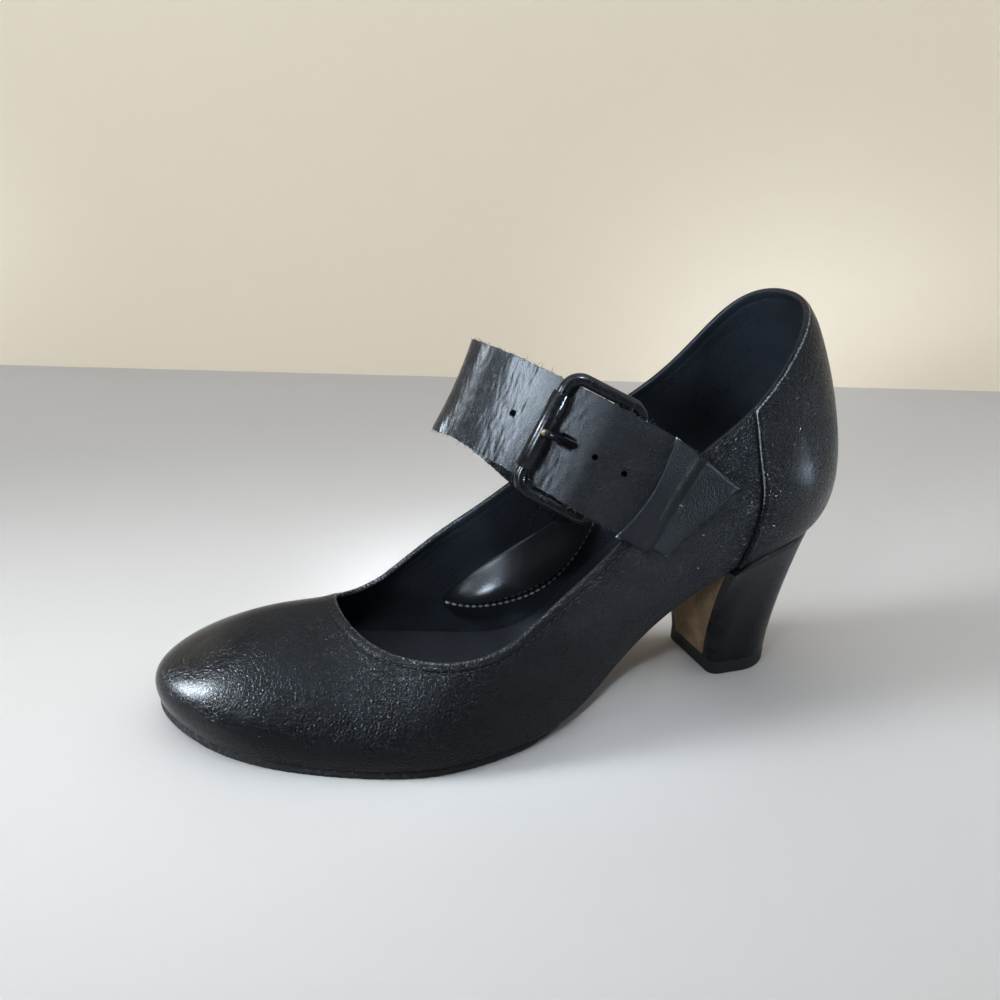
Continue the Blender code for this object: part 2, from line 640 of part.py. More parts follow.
def strap_keeper():
    """Leather patch: flat on the outer quarter, and standing off beyond the topline over the
    strap's end."""
    mouth, along, across, out = strap_frame(KEEPER_ROW)
    across_rows, long_rows = 8, 10
    under = STRAP_THICKNESS / 2 + GAP
    points = []
    for i in range(across_rows + 1):
        side = i / across_rows
        length = KEEPER_FRONT_LENGTH + (KEEPER_BACK_LENGTH - KEEPER_FRONT_LENGTH) * side
        arch = np.sin(np.pi * side)
        for j in range(long_rows + 1):
            back = KEEPER_BOW * arch + (length - KEEPER_BOW * arch) * j / long_rows
            aside = (side - 0.5) * (STRAP[0].width + KEEPER_WIDER) - KEEPER_TAPER * side * j / long_rows
            spot = mouth + across * aside - along * back
            lift = np.clip((back - KEEPER_STANDS) / KEEPER_SLOPE, 0, 1)
            lift = lift**2 * (3 - 2 * lift)
            free = spot + out * (under + KEEPER_BULGE * arch)
            laid = spot.copy()
            laid[1] = skin(*on_skin(spot[0], spot[2], 3.0))[1] + KEEPER_CLEAR
            low = free * (1 - lift) + laid * lift
            points += [low, low + KEEPER_THICKNESS * unit(out * (1 - lift) + np.array([0, 1, 0]) * lift)]
    numbers = np.arange(len(points)).reshape(across_rows + 1, long_rows + 1, 2)
    add_solid("strap_keeper", points, sheet_faces(numbers), "black_leather")


def chape():
    """Short leather loop round the hinge bar, its two ends under the strap and into the keeper,
    with a slot that lets the prong out."""
    hinge, _, along, across, out = buckle_axes()
    inner = BAR_RADIUS + GAP
    outer = inner + CHAPE_THICKNESS
    line_in, line_out, sideways = [], [], []
    # upper layer, from the keeper to the bar, then round the bar, then the lower layer back
    for row in CHAPE_ROWS:
        place, _, strap_across, strap_out = strap_frame(row)
        top = STRAP_THICKNESS / 2 + GAP
        line_out.append(place - strap_out * top)
        line_in.append(place - strap_out * (top + CHAPE_THICKNESS))
        sideways.append(strap_across)
    for angle in np.radians(np.linspace(CHAPE_ARC, -CHAPE_ARC, 11)):
        ray = along * np.cos(angle) + out * np.sin(angle)
        line_out.append(hinge + ray * outer)
        line_in.append(hinge + ray * inner)
        sideways.append(across)
    for row in CHAPE_ROWS[::-1]:
        place, _, strap_across, strap_out = strap_frame(row)
        depth = STRAP_THICKNESS / 2 + 2 * GAP + CHAPE_THICKNESS + CHAPE_PART * (row - CHAPE_ROWS[0])
        line_in.append(place - strap_out * depth)
        line_out.append(place - strap_out * (depth + CHAPE_THICKNESS))
        sideways.append(strap_across)
    points, rings = [], []
    for side in (-1, 1):
        ring = line_out + line_in[::-1]
        rings.append(list(range(len(points), len(points) + len(ring))))
        for place, aside in zip(ring, sideways + sideways[::-1]):
            points.append(place + aside * side * CHAPE_WIDTH / 2)
    faces = loft(rings, False)
    for ring in rings:
        faces += [(ring[i], ring[i + 1], ring[-2 - i], ring[-1 - i]) for i in range(len(line_out) - 1)]
    piece = add_solid("chape", points, faces, "black_leather")
    corners = []
    for a, o in CHAPE_SLOT_ENDS:
        corners.append([hinge + along * a + out * o + across * side * CHAPE_SLOT / 2 for side in (-1, 1)])
    points = [corner[0] for corner in corners] + [corner[1] for corner in corners]
    cut(piece, add_solid("chape_slot_cutter", points, loft([[0, 1, 2, 3], [4, 5, 6, 7]]), "black_leather"))


def heel_counter():
    """Leather laid over the back of the upper, from its seam on one side round to the other."""
    rows, half = 14, 12
    stations = np.linspace(0, 5, 41)
    tops = np.array([top_rise(station) for station in stations])

    def spot(station, share):
        return station, share * np.interp(abs(station), stations, tops)

    points = []
    for i in range(rows + 1):
        share = COUNTER_SPAN[0] + (COUNTER_SPAN[1] - COUNTER_SPAN[0]) * i / rows

        def before_seam(station):
            place = skin(*spot(station, share))
            return place[0] > profile(SEAM, place[2])

        limit = bisect(before_seam, 0.8, 4.5)
        for j in range(-half, half + 1):
            place = spot(limit * j / half, share)
            normal = skin_normal(place[0] % ROUND, place[1])
            ground = skin(place[0] % ROUND, place[1])
            points += [ground + normal * GAP, ground + normal * (GAP + COUNTER_THICKNESS)]
    numbers = np.arange(len(points)).reshape(rows + 1, 2 * half + 1, 2)
    add_solid("heel_counter", points, sheet_faces(numbers), "black_leather")


def sheet_faces(numbers):
    """Faces of a bent plate: numbers[row, column] holds its lower and its upper point."""
    faces = grid_faces(numbers[:, :, 0].tolist(), False) + grid_faces(numbers[:, :, 1].tolist(), False)
    edge = numbers[0, :, :].tolist() + numbers[1:, -1, :].tolist()
    edge += numbers[-1, -2::-1, :].tolist() + numbers[-2:0:-1, 0, :].tolist()
    return faces + grid_faces(edge, True)


def stand():
    """Put the middle of the shoe's box over the origin, by one empty that carries every piece."""
    pieces = [piece for piece in bpy.context.scene.objects if piece.type == "MESH"]
    shown = [piece for piece in pieces if not piece.hide_render]
    corners = np.array([corner for piece in shown for corner in piece.bound_box])
    middle = (corners.min(0) + corners.max(0)) / 2
    shoe = bpy.data.objects.new("shoe", None)
    bpy.context.scene.collection.objects.link(shoe)
    shoe.location = (-middle[0], -middle[1], -corners.min(0)[2])
    for piece in pieces:
        piece.parent = shoe


for leftover in list(bpy.data.objects):
    bpy.data.objects.remove(leftover)
upper()
heel_counter()
arch_pad()
insole()
outsole()
heel_pieces()
strap()
buckle()
chape()
strap_keeper()
stand()
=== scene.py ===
from collections import namedtuple

import bmesh
import bpy
import numpy as np
from mathutils import Euler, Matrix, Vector, noise
from mathutils.kdtree import KDTree


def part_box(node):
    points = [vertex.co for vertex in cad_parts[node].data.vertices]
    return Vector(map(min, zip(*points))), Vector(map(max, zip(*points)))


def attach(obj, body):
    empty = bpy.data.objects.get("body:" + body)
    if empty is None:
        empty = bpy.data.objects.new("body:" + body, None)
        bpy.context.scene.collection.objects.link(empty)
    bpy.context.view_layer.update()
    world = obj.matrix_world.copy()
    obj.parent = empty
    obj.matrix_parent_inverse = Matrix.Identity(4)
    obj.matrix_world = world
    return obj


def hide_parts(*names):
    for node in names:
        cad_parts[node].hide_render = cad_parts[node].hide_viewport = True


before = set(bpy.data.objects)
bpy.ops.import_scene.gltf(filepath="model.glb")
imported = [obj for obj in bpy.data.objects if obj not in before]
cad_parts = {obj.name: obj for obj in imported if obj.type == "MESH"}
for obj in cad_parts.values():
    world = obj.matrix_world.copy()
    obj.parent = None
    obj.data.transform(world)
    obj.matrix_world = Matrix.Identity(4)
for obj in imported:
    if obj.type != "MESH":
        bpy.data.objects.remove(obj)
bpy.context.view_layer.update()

# Stage. A pale table in front of a cream wall, lit by a window on either side and a skylight. Four
# small narrow lamps put the glints on the toe, the strap, the heel counter and the arch pad. The
# camera stands on the shoe's outer side.
MM = 0.001
LIFT_BACK = 11.0                       # the shoe's own x at the back of the lift
lift_low, lift_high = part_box("top_lift")
FRAME_MIDDLE = np.array([LIFT_BACK - lift_low.x / MM, -(lift_low.y + lift_high.y) / 2 / MM, 0.0])
CAMERA_PLACE = (194.6, 264.5, 204.4)
CAMERA_TURN = (64.44, -1.38, 163.90)   # degrees about x, y and z
CAMERA_LENS = 34.2
CAMERA_NEAR = 0.01
CAMERA_EXPOSURE, CAMERA_GAMMA = 0.06, 0.80
WALL_AWAY = 0.62                       # metres from the camera's foot
STAGE_REACH = 3.0
STAGE_ROUGHNESS = 0.9
TABLE_GREY = (0.58, 0.54, 0.51)
WALL_CREAM = (0.88, 0.78, 0.64)
WALL_GLOW = 0.22                       # light of the wall's own
SKY = (0.78, 0.88, 1.0)
SKY_STRENGTH = 0.10

# widths and heights in metres; spread is the angle of a lamp's cone in degrees
Lamp = namedtuple("Lamp", "name place aim width height watts spread colour")
LAMPS = [Lamp(*row) for row in (
    ("window_left", (900, 200, 700), (100, 0, 0), 0.90, 0.90, 4.4, 180, (0.80, 0.90, 1.0)),
    ("window_right", (-700, 200, 600), (60, 0, 0), 0.60, 0.60, 2.0, 180, (0.84, 0.92, 1.0)),
    ("skylight", (150, -80, 900), (150, -40, 20), 1.20, 1.20, 6.8, 180, (0.78, 0.89, 1.0)),
    ("toe_light", (900, -90, 350), (215, 5, 20), 0.28, 0.28, 0.36, 25, (0.84, 0.93, 1.0)),
    ("strap_light", (445, 262, 222), (113, -8, 104), 0.15, 0.15, 0.055, 22, (0.76, 0.88, 1.0)),
    ("counter_light", (-520, 560, 90), (20, 29, 88), 0.12, 0.10, 0.060, 9, (0.70, 0.86, 1.0)),
    ("pad_light", (146, 346, 626), (106, -16, 36), 0.12, 0.12, 0.030, 8, (0.80, 0.90, 1.0)),
)]


def to_frame(points):
    """Metres in the part's frame, from the shoe's own millimetres."""
    return (np.asarray(points, float) - FRAME_MIDDLE) * MM


def show(item):
    """Link a new object into the scene."""
    bpy.context.scene.collection.objects.link(item)
    return item


def fill(tree, sockets, values):
    """Set inputs to numbers or colours, or link them to other nodes' outputs."""
    for key, value in values.items():
        if isinstance(value, bpy.types.NodeSocket):
            tree.links.new(value, sockets[key])
        else:
            sockets[key].default_value = value


def add_node(tree, kind, inputs=None, **settings):
    """A node with its settings and its inputs."""
    made = tree.nodes.new(kind)
    for key, value in settings.items():
        setattr(made, key, value)
    fill(tree, made.inputs, inputs or {})
    return made


def new_finish(name, colour, roughness, coat_roughness=0.2, shine=0.5):
    """A Principled material with its even values, for nodes to be added to."""
    made = bpy.data.materials.new(name)
    made.use_nodes = True
    shader = made.node_tree.nodes["Principled BSDF"]
    fill(made.node_tree, shader.inputs, {"Base Color": (*colour, 1), "Roughness": roughness,
                                         "Specular IOR Level": shine, "Coat Roughness": coat_roughness})
    return made, made.node_tree, shader


def stage_sheet(name, corners, colour, glow):
    """A flat sheet of the surroundings, with a little light of its own."""
    mesh = bpy.data.meshes.new(name)
    mesh.from_pydata(corners, [], [(0, 1, 2, 3)])
    finish, tree, shader = new_finish(name, colour, STAGE_ROUGHNESS)
    fill(tree, shader.inputs, {"Emission Color": (*colour, 1), "Emission Strength": glow})
    mesh.materials.append(finish)
    show(bpy.data.objects.new(name, mesh))


camera = show(bpy.data.objects.new("camera", bpy.data.cameras.new("camera")))
camera.data.lens = CAMERA_LENS
camera.data.clip_start = CAMERA_NEAR
camera.location = to_frame(CAMERA_PLACE)
camera.rotation_euler = Euler(np.radians(CAMERA_TURN))
bpy.context.scene.camera = camera
heading = camera.rotation_euler.to_matrix() @ Vector((0, 0, -1))
heading = Vector((heading.x, heading.y, 0)).normalized()
sideways = Vector((heading.y, -heading.x, 0)) * STAGE_REACH
foot = Vector((camera.location.x, camera.location.y, 0))
near_line = foot - heading * STAGE_REACH
far_line = foot + heading * WALL_AWAY
up_line = Vector((0, 0, STAGE_REACH))
stage_sheet("table", [near_line - sideways, near_line + sideways, far_line + sideways, far_line - sideways],
            TABLE_GREY, 0.0)
stage_sheet("back_wall", [far_line - sideways, far_line + sideways, far_line + sideways + up_line,
                          far_line - sideways + up_line], WALL_CREAM, WALL_GLOW)
for lamp in LAMPS:
    light = bpy.data.lights.new(lamp.name, "AREA")
    light.shape = "RECTANGLE"
    light.size = lamp.width
    light.size_y = lamp.height
    light.energy = lamp.watts
    light.spread = np.radians(lamp.spread)
    light.color = lamp.colour
    holder = show(bpy.data.objects.new(lamp.name, light))
    holder.location = to_frame(lamp.place)
    aim = Vector(to_frame(lamp.aim)) - holder.location
    holder.rotation_euler = aim.to_track_quat("-Z", "Y").to_euler()
world = bpy.data.worlds.new("room")
world.use_nodes = True
sky_inputs = world.node_tree.nodes["Background"].inputs
fill(world.node_tree, sky_inputs, {"Color": (*SKY, 1), "Strength": SKY_STRENGTH})
bpy.context.scene.world = world
bpy.context.scene.view_settings.view_transform = "Standard"
bpy.context.scene.view_settings.exposure = CAMERA_EXPOSURE
bpy.context.scene.view_settings.gamma = CAMERA_GAMMA

# Upper. Vamp and quarters cut in one from pebbled black leather and lined, pulled over a last and
# turned under at the feather line. The top edge is folded over and sewn down just below the fold.
WALL = 1.8
MARGIN = 7.0              # turned in under the insole
TURN_RADIUS = 2.6         # of the fold at the feather line
THROAT_X = 170.0
THROAT_ROUND = 6.0
SIDES_MEET = 12.0         # half the width over which the outer topline passes into the inner one
THROAT_BOW = 0.012
GAP = 0.3                 # between pieces that touch
STITCH_DOWN = 2.3         # of the sewn row, below the fold
FOLD_ROLL = 0.16          # how far the folded edge swells
STITCH_PULL = 0.22        # how far the thread draws the leather in
LINING_DIPS = ((STITCH_DOWN, 0.15), (6.0, 0.10))       # grooves in the lining: below the fold, depth
WORN_BACK = ((8, 16, 40, 46), (0.0, 1.0, 0.9, 0.0))    # rubbed stretch of the top edge: x, share
LEATHER_BLACK = (0.006, 0.0066, 0.0085)
LINING_BLACK = (0.027, 0.031, 0.038)
# pale grey of worn edges, also the painted highlight along the upper's top edge
WEAR_AND_SHEEN_GREY = (0.33, 0.33, 0.34)
LINT_GREY = (0.42, 0.42, 0.43)
LEATHER_SHINE, POLISH_ROUGHNESS = 0.30, 0.24

Section = namedtuple("Section", "crown outer_x outer_y inner_x inner_y flare wall round "
                                "inner_wall inner_round")
SECTIONS = [Section(*row) for row in (
    (96, 5.4, 0, 5.4, 0, 29, 0.18, 0.50, 0.18, 0.50),                # heel back
    (97, 12, 17, 12, -17, 22, 0.20, 0.52, 0.20, 0.52),
    (100, 34, 25, 34, -25, 12, 0.28, 0.56, 0.28, 0.56),
    (106, 66, 26.2, 66, -24, 6, 0.42, 0.56, 0.36, 0.50),
    (116, 95, 32.5, 98, -22, 5, 0.48, 0.50, 0.35, 0.40),
    (132, 124, 40.5, 130, -30, 4, 0.48, 0.45, 0.29, 0.31),
    (152, 150, 42, 158, -38, 3.5, 0.48, 0.42, 0.29, 0.29),           # ball of the foot
    (175, 178, 34, 182, -40.5, 3, 0.52, 0.44, 0.31, 0.31),
    (194, 200, 23.5, 203, -35.5, 3, 0.58, 0.48, 0.42, 0.40),
    (206, 216.5, 10.5, 217.5, -30.5, 3, 0.60, 0.52, 0.48, 0.44),
    (210, 227.5, -11.5, 227.5, -11.5, 3, 0.62, 0.54, 0.62, 0.54),    # toe tip
)]
Profile = namedtuple("Profile", "x z")
FEATHER = [Profile(*row) for row in (
    (5, 57.5), (25, 54.5), (45, 47.5), (66, 34.5), (81, 21.8), (94, 10.2), (107, 4.3), (125, 2.8),
    (145, 2.5), (185, 2.5), (205, 3.7), (230, 7.7))]
CROWN = [Profile(*row) for row in (
    (80, 178), (98, 155), (112, 125), (130, 85), (150, 49.5), (168, 38.3), (183, 36.5), (195, 34),
    (205, 30.2), (210, 27.5))]
MIDDLE = [Profile(*row) for row in ((80, 0), (130, -4), (170, -8), (210, -12))]
Edge = namedtuple("Edge", "x outer inner")
TOPLINE = [Edge(*row) for row in (
    (5, 134, 134), (18, 135, 135), (30, 123, 123), (40, 110, 111), (60, 91.5, 96), (84, 66.5, 84.5),
    (108, 48.5, 68.5), (119, 41, 60.5), (131, 36.5, 52), (143, 34, 42), (155, 32, 33), (175, 30, 28))]
# soft walking creases, each through places given as a station round the last and a rise up its wall
Crease = namedtuple("Crease", "depth width places")
CREASES = [Crease(*row) for row in (
    (0.22, 2.0, ((5.1, 0.34), (5.35, 0.52), (5.5, 0.66))),
    (0.26, 2.2, ((5.55, 0.22), (5.8, 0.42), (6.0, 0.60))),
    (0.22, 2.2, ((6.0, 0.20), (6.25, 0.40), (6.5, 0.58))),
    (0.16, 1.8, ((6.55, 0.18), (6.75, 0.36), (6.95, 0.52))),
    (0.20, 2.2, ((3.2, 0.16), (3.45, 0.30), (3.6, 0.44))),
    (0.18, 2.0, ((4.1, 0.20), (4.35, 0.36), (4.6, 0.52))),
    (0.28, 2.4, ((14.6, 0.28), (14.3, 0.46), (14.1, 0.62))),
    (0.30, 2.6, ((14.1, 0.20), (13.85, 0.42), (13.6, 0.60))),
    (0.22, 2.2, ((13.5, 0.18), (13.3, 0.36), (13.1, 0.55))),
    (-0.16, 1.6, ((8.0, 0.14), (8.5, 0.17), (9.0, 0.15))),
)]


def spline(knots, values, at, period=None):
    """Cubic spline through values at the knots, read at `at`. It runs on straight past its
    ends, or closes on itself after `period`."""
    knots = np.asarray(knots, float)
    values = np.asarray(values, float)
    at = np.asarray(at, float)
    if period is not None:
        knots = np.concatenate([knots - period, knots, knots + period])
        values = np.concatenate([values, values, values])
        at = np.mod(at, period)
    wide = values.reshape(len(knots), -1)
    steps = np.diff(knots)
    rates = np.diff(wide, axis=0) / steps[:, None]
    matrix = np.eye(len(knots))
    right = np.zeros_like(wide)
    for i in range(1, len(knots) - 1):
        matrix[i, i - 1:i + 2] = steps[i - 1], 2 * (steps[i - 1] + steps[i]), steps[i]
        right[i] = 6 * (rates[i] - rates[i - 1])
    bend = np.linalg.solve(matrix, right)
    flat = at.ravel()
    inside = np.clip(flat, knots[0], knots[-1])
    k = np.clip(np.searchsorted(knots, inside) - 1, 0, len(steps) - 1)
    step = steps[k][:, None]
    before = (inside - knots[k])[:, None]
    after = step - before
    turn = bend[k + 1] * (3 * before**2 - step**2) - bend[k] * (3 * after**2 - step**2)
    curve = bend[k] * (after**3 - step**2 * after) + bend[k + 1] * (before**3 - step**2 * before)
    result = wide[k] + rates[k] * before + curve / (6 * step)
    result += (rates[k] + turn / (6 * step)) * (flat - inside)[:, None]
    return result.reshape(at.shape + values.shape[1:])


def profile(rows, x):
    """Height of a side-view curve at x."""
    return spline([row[0] for row in rows], [row[1] for row in rows], x)


def unit(vector):
    """The vector at length one."""
    return vector / np.linalg.norm(vector, axis=-1, keepdims=True)


TIP = len(SECTIONS) - 1           # station of the toe tip; the outer side runs from 0 to it
ROUND = 2 * TIP                   # stations once round the feather line
LOOP = [(s.outer_x, s.outer_y, s.crown, s.flare, s.wall, s.round) for s in SECTIONS]
LOOP += [(s.inner_x, s.inner_y, s.crown, s.flare, s.inner_wall, s.inner_round) for s in SECTIONS[-2:0:-1]]


def feather_line(station):
    """The loop's columns at each station: x, y, crown, flare, wall, round."""
    return spline(np.arange(ROUND), LOOP, station, ROUND)


def outward(station):
    """Unit vector in plan that points away from the foot, square to the feather line."""
    ahead = feather_line(station + 1e-3) - feather_line(station - 1e-3)
    return unit(np.stack([-ahead[..., 1], ahead[..., 0]], -1))


def skin(station, rise):
    """Outside of the upper. Rise -2 to -1 is the margin under the insole, -1 to 0 the turn,
    and 0 to 1 the wall, from the feather line to the crown."""
    station, rise = np.broadcast_arrays(np.asarray(station, float), np.asarray(rise, float))
    x, y, crown, flare, wall, rounding = np.moveaxis(feather_line(station), -1, 0)
    out = outward(station)
    place = np.stack([x, y], -1)
    angle = np.clip(rise + 1, 0, 1) * np.pi / 2
    inset = TURN_RADIUS * (1 - np.sin(angle)) + MARGIN * np.clip(-1 - rise, 0, 1)
    under = place - out * inset[..., None]
    height = profile(FEATHER, under[..., 0]) + TURN_RADIUS * (1 - np.cos(angle))
    low = np.concatenate([under, height[..., None]], -1)
    start = np.concatenate([place, (profile(FEATHER, x) + TURN_RADIUS)[..., None]], -1)
    top = np.stack([crown, profile(MIDDLE, crown), profile(CROWN, crown)], -1)
    across = top - start
    climb = across[..., 2].copy()
    slope = profile(CROWN, crown + 0.5) - profile(CROWN, crown - 0.5)
    across[..., 2] = slope * across[..., 0]
    first = start + np.concatenate([out * flare[..., None], (wall * climb)[..., None]], -1)
    second = top - across * rounding[..., None]
    t = np.clip(rise, 0, 1)[..., None]
    high = (1 - t)**3 * start + 3 * t * (1 - t)**2 * first + 3 * t**2 * (1 - t) * second + t**3 * top
    return np.where(rise[..., None] < 0, low, high)


def skin_normal(station, rise):
    """Unit vector that points out of the upper."""
    station, rise = np.broadcast_arrays(np.asarray(station, float), np.asarray(rise, float))
    rise = np.minimum(rise, 0.99)
    along = skin(station + 1e-3, rise) - skin(station - 1e-3, rise)
    up = skin(station, rise + 1e-3) - skin(station, np.maximum(rise - 1e-3, -2))
    return unit(np.cross(up, along))


def opening(point):
    """Above zero where the foot goes in: over the topline and behind the throat."""
    aside = point[..., 1] - profile(MIDDLE, point[..., 0])
    heights = spline([row.x for row in TOPLINE], [row[1:] for row in TOPLINE], point[..., 0])
    share = (1 + np.tanh(aside / SIDES_MEET)) / 2
    over = point[..., 2] - heights[..., 0] * share - heights[..., 1] * (1 - share)
    behind = THROAT_X - THROAT_BOW * aside**2 - point[..., 0]
    return (over + behind - np.hypot(over - behind, THROAT_ROUND)) / 2


def bisect(test, low, high):
    """Where the test first turns true between low and high, for one number or many."""
    for _ in range(40):
        middle = (low + high) / 2
        past = test(middle)
        low, high = np.where(past, low, middle), np.where(past, middle, high)
    return (low + high) / 2


def top_rise(stations):
    """Rise at which each column of the quarters is cut by the topline."""
    rises = np.linspace(0, 1, 200)
    first = np.argmax(opening(skin(stations[:, None], rises)) > 0, axis=1)
    return bisect(lambda rise: opening(skin(stations, rise)) > 0, rises[first - 1], rises[first])


def numbered(points):
    """Point numbers of a grid of places."""
    return np.arange(points.shape[0] * points.shape[1]).reshape(points.shape[:2])


def quads(numbers, wrap_rows=False, wrap_columns=False):
    """Four-sided faces of a grid of point numbers, closed on itself where asked."""
    if wrap_rows:
        numbers = np.concatenate([numbers, numbers[:1]])
    if wrap_columns:
        numbers = np.concatenate([numbers, numbers[:, :1]], 1)
    corners = [numbers[:-1, :-1], numbers[1:, :-1], numbers[1:, 1:], numbers[:-1, 1:]]
    return np.stack(corners, -1).reshape(-1, 4).tolist()


def add_piece(name, points, faces, finishes, marks=None, sharp=40, finish_numbers=None):
    """A closed mesh with its faces turned out; marks are named values on its points."""
    mesh = bpy.data.meshes.new(name)
    mesh.from_pydata(to_frame(points).reshape(-1, 3).tolist(), [], faces)
    for finish in finishes:
        mesh.materials.append(finish)
    if finish_numbers is not None:
        mesh.polygons.foreach_set("material_index", np.asarray(finish_numbers, np.int32))
    for mark, values in (marks or {}).items():
        layer = mesh.attributes.new(mark, "FLOAT", "POINT")
        layer.data.foreach_set("value", np.asarray(values, np.float32).ravel())
    body = bmesh.new()
    body.from_mesh(mesh)
    bmesh.ops.remove_doubles(body, verts=body.verts, dist=1e-6)
    bmesh.ops.dissolve_degenerate(body, edges=body.edges, dist=1e-6)
    bmesh.ops.recalc_face_normals(body, faces=body.faces)
    body.to_mesh(mesh)
    body.free()
    mesh.shade_smooth()
    mesh.set_sharp_from_angle(angle=np.radians(sharp))
    return show(bpy.data.objects.new(name, mesh))


def settle(piece, slot, *nodes):
    """The piece goes with the shoe and stands for its solids; the slot is not used."""
    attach(piece, "root")
    if nodes:
        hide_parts(*nodes)


def away_from(points, line):
    """Distance of each point from a line of places, and the share of the line that is nearest."""
    tree = KDTree(len(line))
    for number, place in enumerate(line):
        tree.insert(place, number)
    tree.balance()
    found = [tree.find(point) for point in points.reshape(-1, 3)]
    far = np.array([hit[2] for hit in found]).reshape(points.shape[:-1])
    share = np.array([hit[1] for hit in found]).reshape(points.shape[:-1]) / (len(line) - 1)
    return far, share


def bell(distance, width):
    """One at no distance, falling smoothly to nothing."""
    return np.exp(-(distance / width)**2)


def new_group(name, inputs, output):
    """An empty shader group with a vector input, number inputs and one number output."""
    group = bpy.data.node_groups.new(name, "ShaderNodeTree")
    group.interface.new_socket("Vector", in_out="INPUT", socket_type="NodeSocketVector")
    for label, value in inputs:
        group.interface.new_socket(label, in_out="INPUT", socket_type="NodeSocketFloat").default_value = value
    group.interface.new_socket(output, in_out="OUTPUT", socket_type="NodeSocketFloat")
    return group, add_node(group, "NodeGroupInput").outputs, add_node(group, "NodeGroupOutput").inputs


def sums(tree, operation, first, second):
    """Output of one Math node."""
    return add_node(tree, "ShaderNodeMath", {0: first, 1: second}, operation=operation).outputs[0]


def times(tree, first, second):
    """Product of two values."""
    return sums(tree, "MULTIPLY", first, second)


def vectors(tree, operation, inputs):
    """Output of one Vector Math node."""
    return add_node(tree, "ShaderNodeVectorMath", inputs, operation=operation).outputs[0]


def noise_value(tree, vector, scale, detail, roughness=0.5):
    """Value of a noise texture."""
    inputs = {"Vector": vector, "Scale": scale, "Detail": detail, "Roughness": roughness}
    return add_node(tree, "ShaderNodeTexNoise", inputs).outputs["Fac"]


def cell_edges(tree, vector, scale):
    """Distance from the borders of random cells."""
    inputs = {"Vector": vector, "Scale": scale}
    return add_node(tree, "ShaderNodeTexVoronoi", inputs, feature="DISTANCE_TO_EDGE").outputs["Distance"]


def ramp(tree, value, low, high, start=0.0, stop=1.0):
    """A soft step of a value from low to high, put out between start and stop."""
    ends = {"Value": value, "From Min": low, "From Max": high, "To Min": start, "To Max": stop}
    return add_node(tree, "ShaderNodeMapRange", ends, interpolation_type="SMOOTHSTEP").outputs[0]


# pebbled grain of drum-tumbled leather: uneven cells, smaller ones between, and long fine creases
pebble_grain, given, put = new_group("pebble_grain", (("Cells", 900), ("Creases", 0.3)), "Height")
tree, vector, many = pebble_grain, given["Vector"], given["Cells"]
sway = {"Vector": vector, "Detail": 2.0, "Scale": times(tree, many, 0.35)}
sway = add_node(tree, "ShaderNodeTexNoise", sway)
sway = vectors(tree, "SUBTRACT", {0: sway.outputs["Color"], 1: (0.5, 0.5, 0.5)})
sway = vectors(tree, "SCALE", {0: sway, "Scale": sums(tree, "DIVIDE", 1.1, many)})
swayed = vectors(tree, "ADD", {0: vector, 1: sway})
cells = ramp(tree, cell_edges(tree, swayed, many), 0.0, 0.26)
small_cells = ramp(tree, cell_edges(tree, swayed, times(tree, many, 2.3)), 0.0, 0.3)
patches = ramp(tree, noise_value(tree, vector, times(tree, many, 0.10), 2.0), 0.3, 0.7, 0.35, 1.0)
lines = noise_value(tree, swayed, times(tree, many, 0.16), 3.0)
lines = sums(tree, "ABSOLUTE", sums(tree, "SUBTRACT", lines, 0.5), 0.0)
lines = times(tree, ramp(tree, lines, 0.0, 0.035, 1.0, 0.0), given["Creases"])
pebbles = sums(tree, "ADD", times(tree, cells, patches), times(tree, small_cells, 0.3))
tree.links.new(sums(tree, "SUBTRACT", pebbles, lines), put["Height"])

# worn edges, and on the upper's top edge a painted highlight as well: a mark on the points, broken up by a
# noise
edge_wear_and_sheen, given, put = new_group("edge_wear_and_sheen", (("Worn", 0.0), ("Size", 900)), "Mask")
breaks = times(edge_wear_and_sheen, noise_value(edge_wear_and_sheen, given["Vector"], given["Size"], 4.0, 0.65), 1.2)
breaks = sums(edge_wear_and_sheen, "ADD", given["Worn"], breaks)
edge_wear_and_sheen.links.new(ramp(edge_wear_and_sheen, breaks, 1.05, 1.30), put["Mask"])

# lint and dust: one small dot in a few of many cells
lint, given, put = new_group("lint", (("Cells", 260), ("Share", 0.03), ("Dot", 0.09)), "Mask")
spots = add_node(lint, "ShaderNodeTexVoronoi", {"Vector": given["Vector"], "Scale": given["Cells"]})
chosen = add_node(lint, "ShaderNodeSeparateColor", {"Color": spots.outputs["Color"]}).outputs[0]
chosen = sums(lint, "LESS_THAN", chosen, given["Share"])
dot = sums(lint, "LESS_THAN", spots.outputs["Distance"], given["Dot"])
lint.links.new(times(lint, chosen, dot), put["Mask"])


def place_group(tree, group, vector, **values):
    """The output of a group placed in a material."""
    inputs = {"Vector": vector} | {key.capitalize(): value for key, value in values.items()}
    return add_node(tree, "ShaderNodeGroup", inputs, node_tree=group).outputs[0]


def object_place(tree):
    """Place in the piece's own space."""
    return add_node(tree, "ShaderNodeTexCoord").outputs["Object"]


def mark_value(tree, name):
    """A named value from the points."""
    return add_node(tree, "ShaderNodeAttribute", attribute_name=name).outputs["Fac"]


def toned(colour, factor):
    """A colour made lighter or darker."""
    return tuple(part * factor for part in colour)


def blend(tree, share, first, second):
    """A colour between two others, by a share."""
    inputs = {6: first, 7: second}
    inputs = {key: (*value, 1) if isinstance(value, tuple) else value for key, value in inputs.items()}
    return add_node(tree, "ShaderNodeMix", {0: share} | inputs, data_type="RGBA").outputs[2]


def raised(tree, height, distance, strength):
    """Normal of a surface with a height, in metres, on it."""
    inputs = {"Height": height, "Distance": distance, "Strength": strength}
    return add_node(tree, "ShaderNodeBump", inputs).outputs[0]


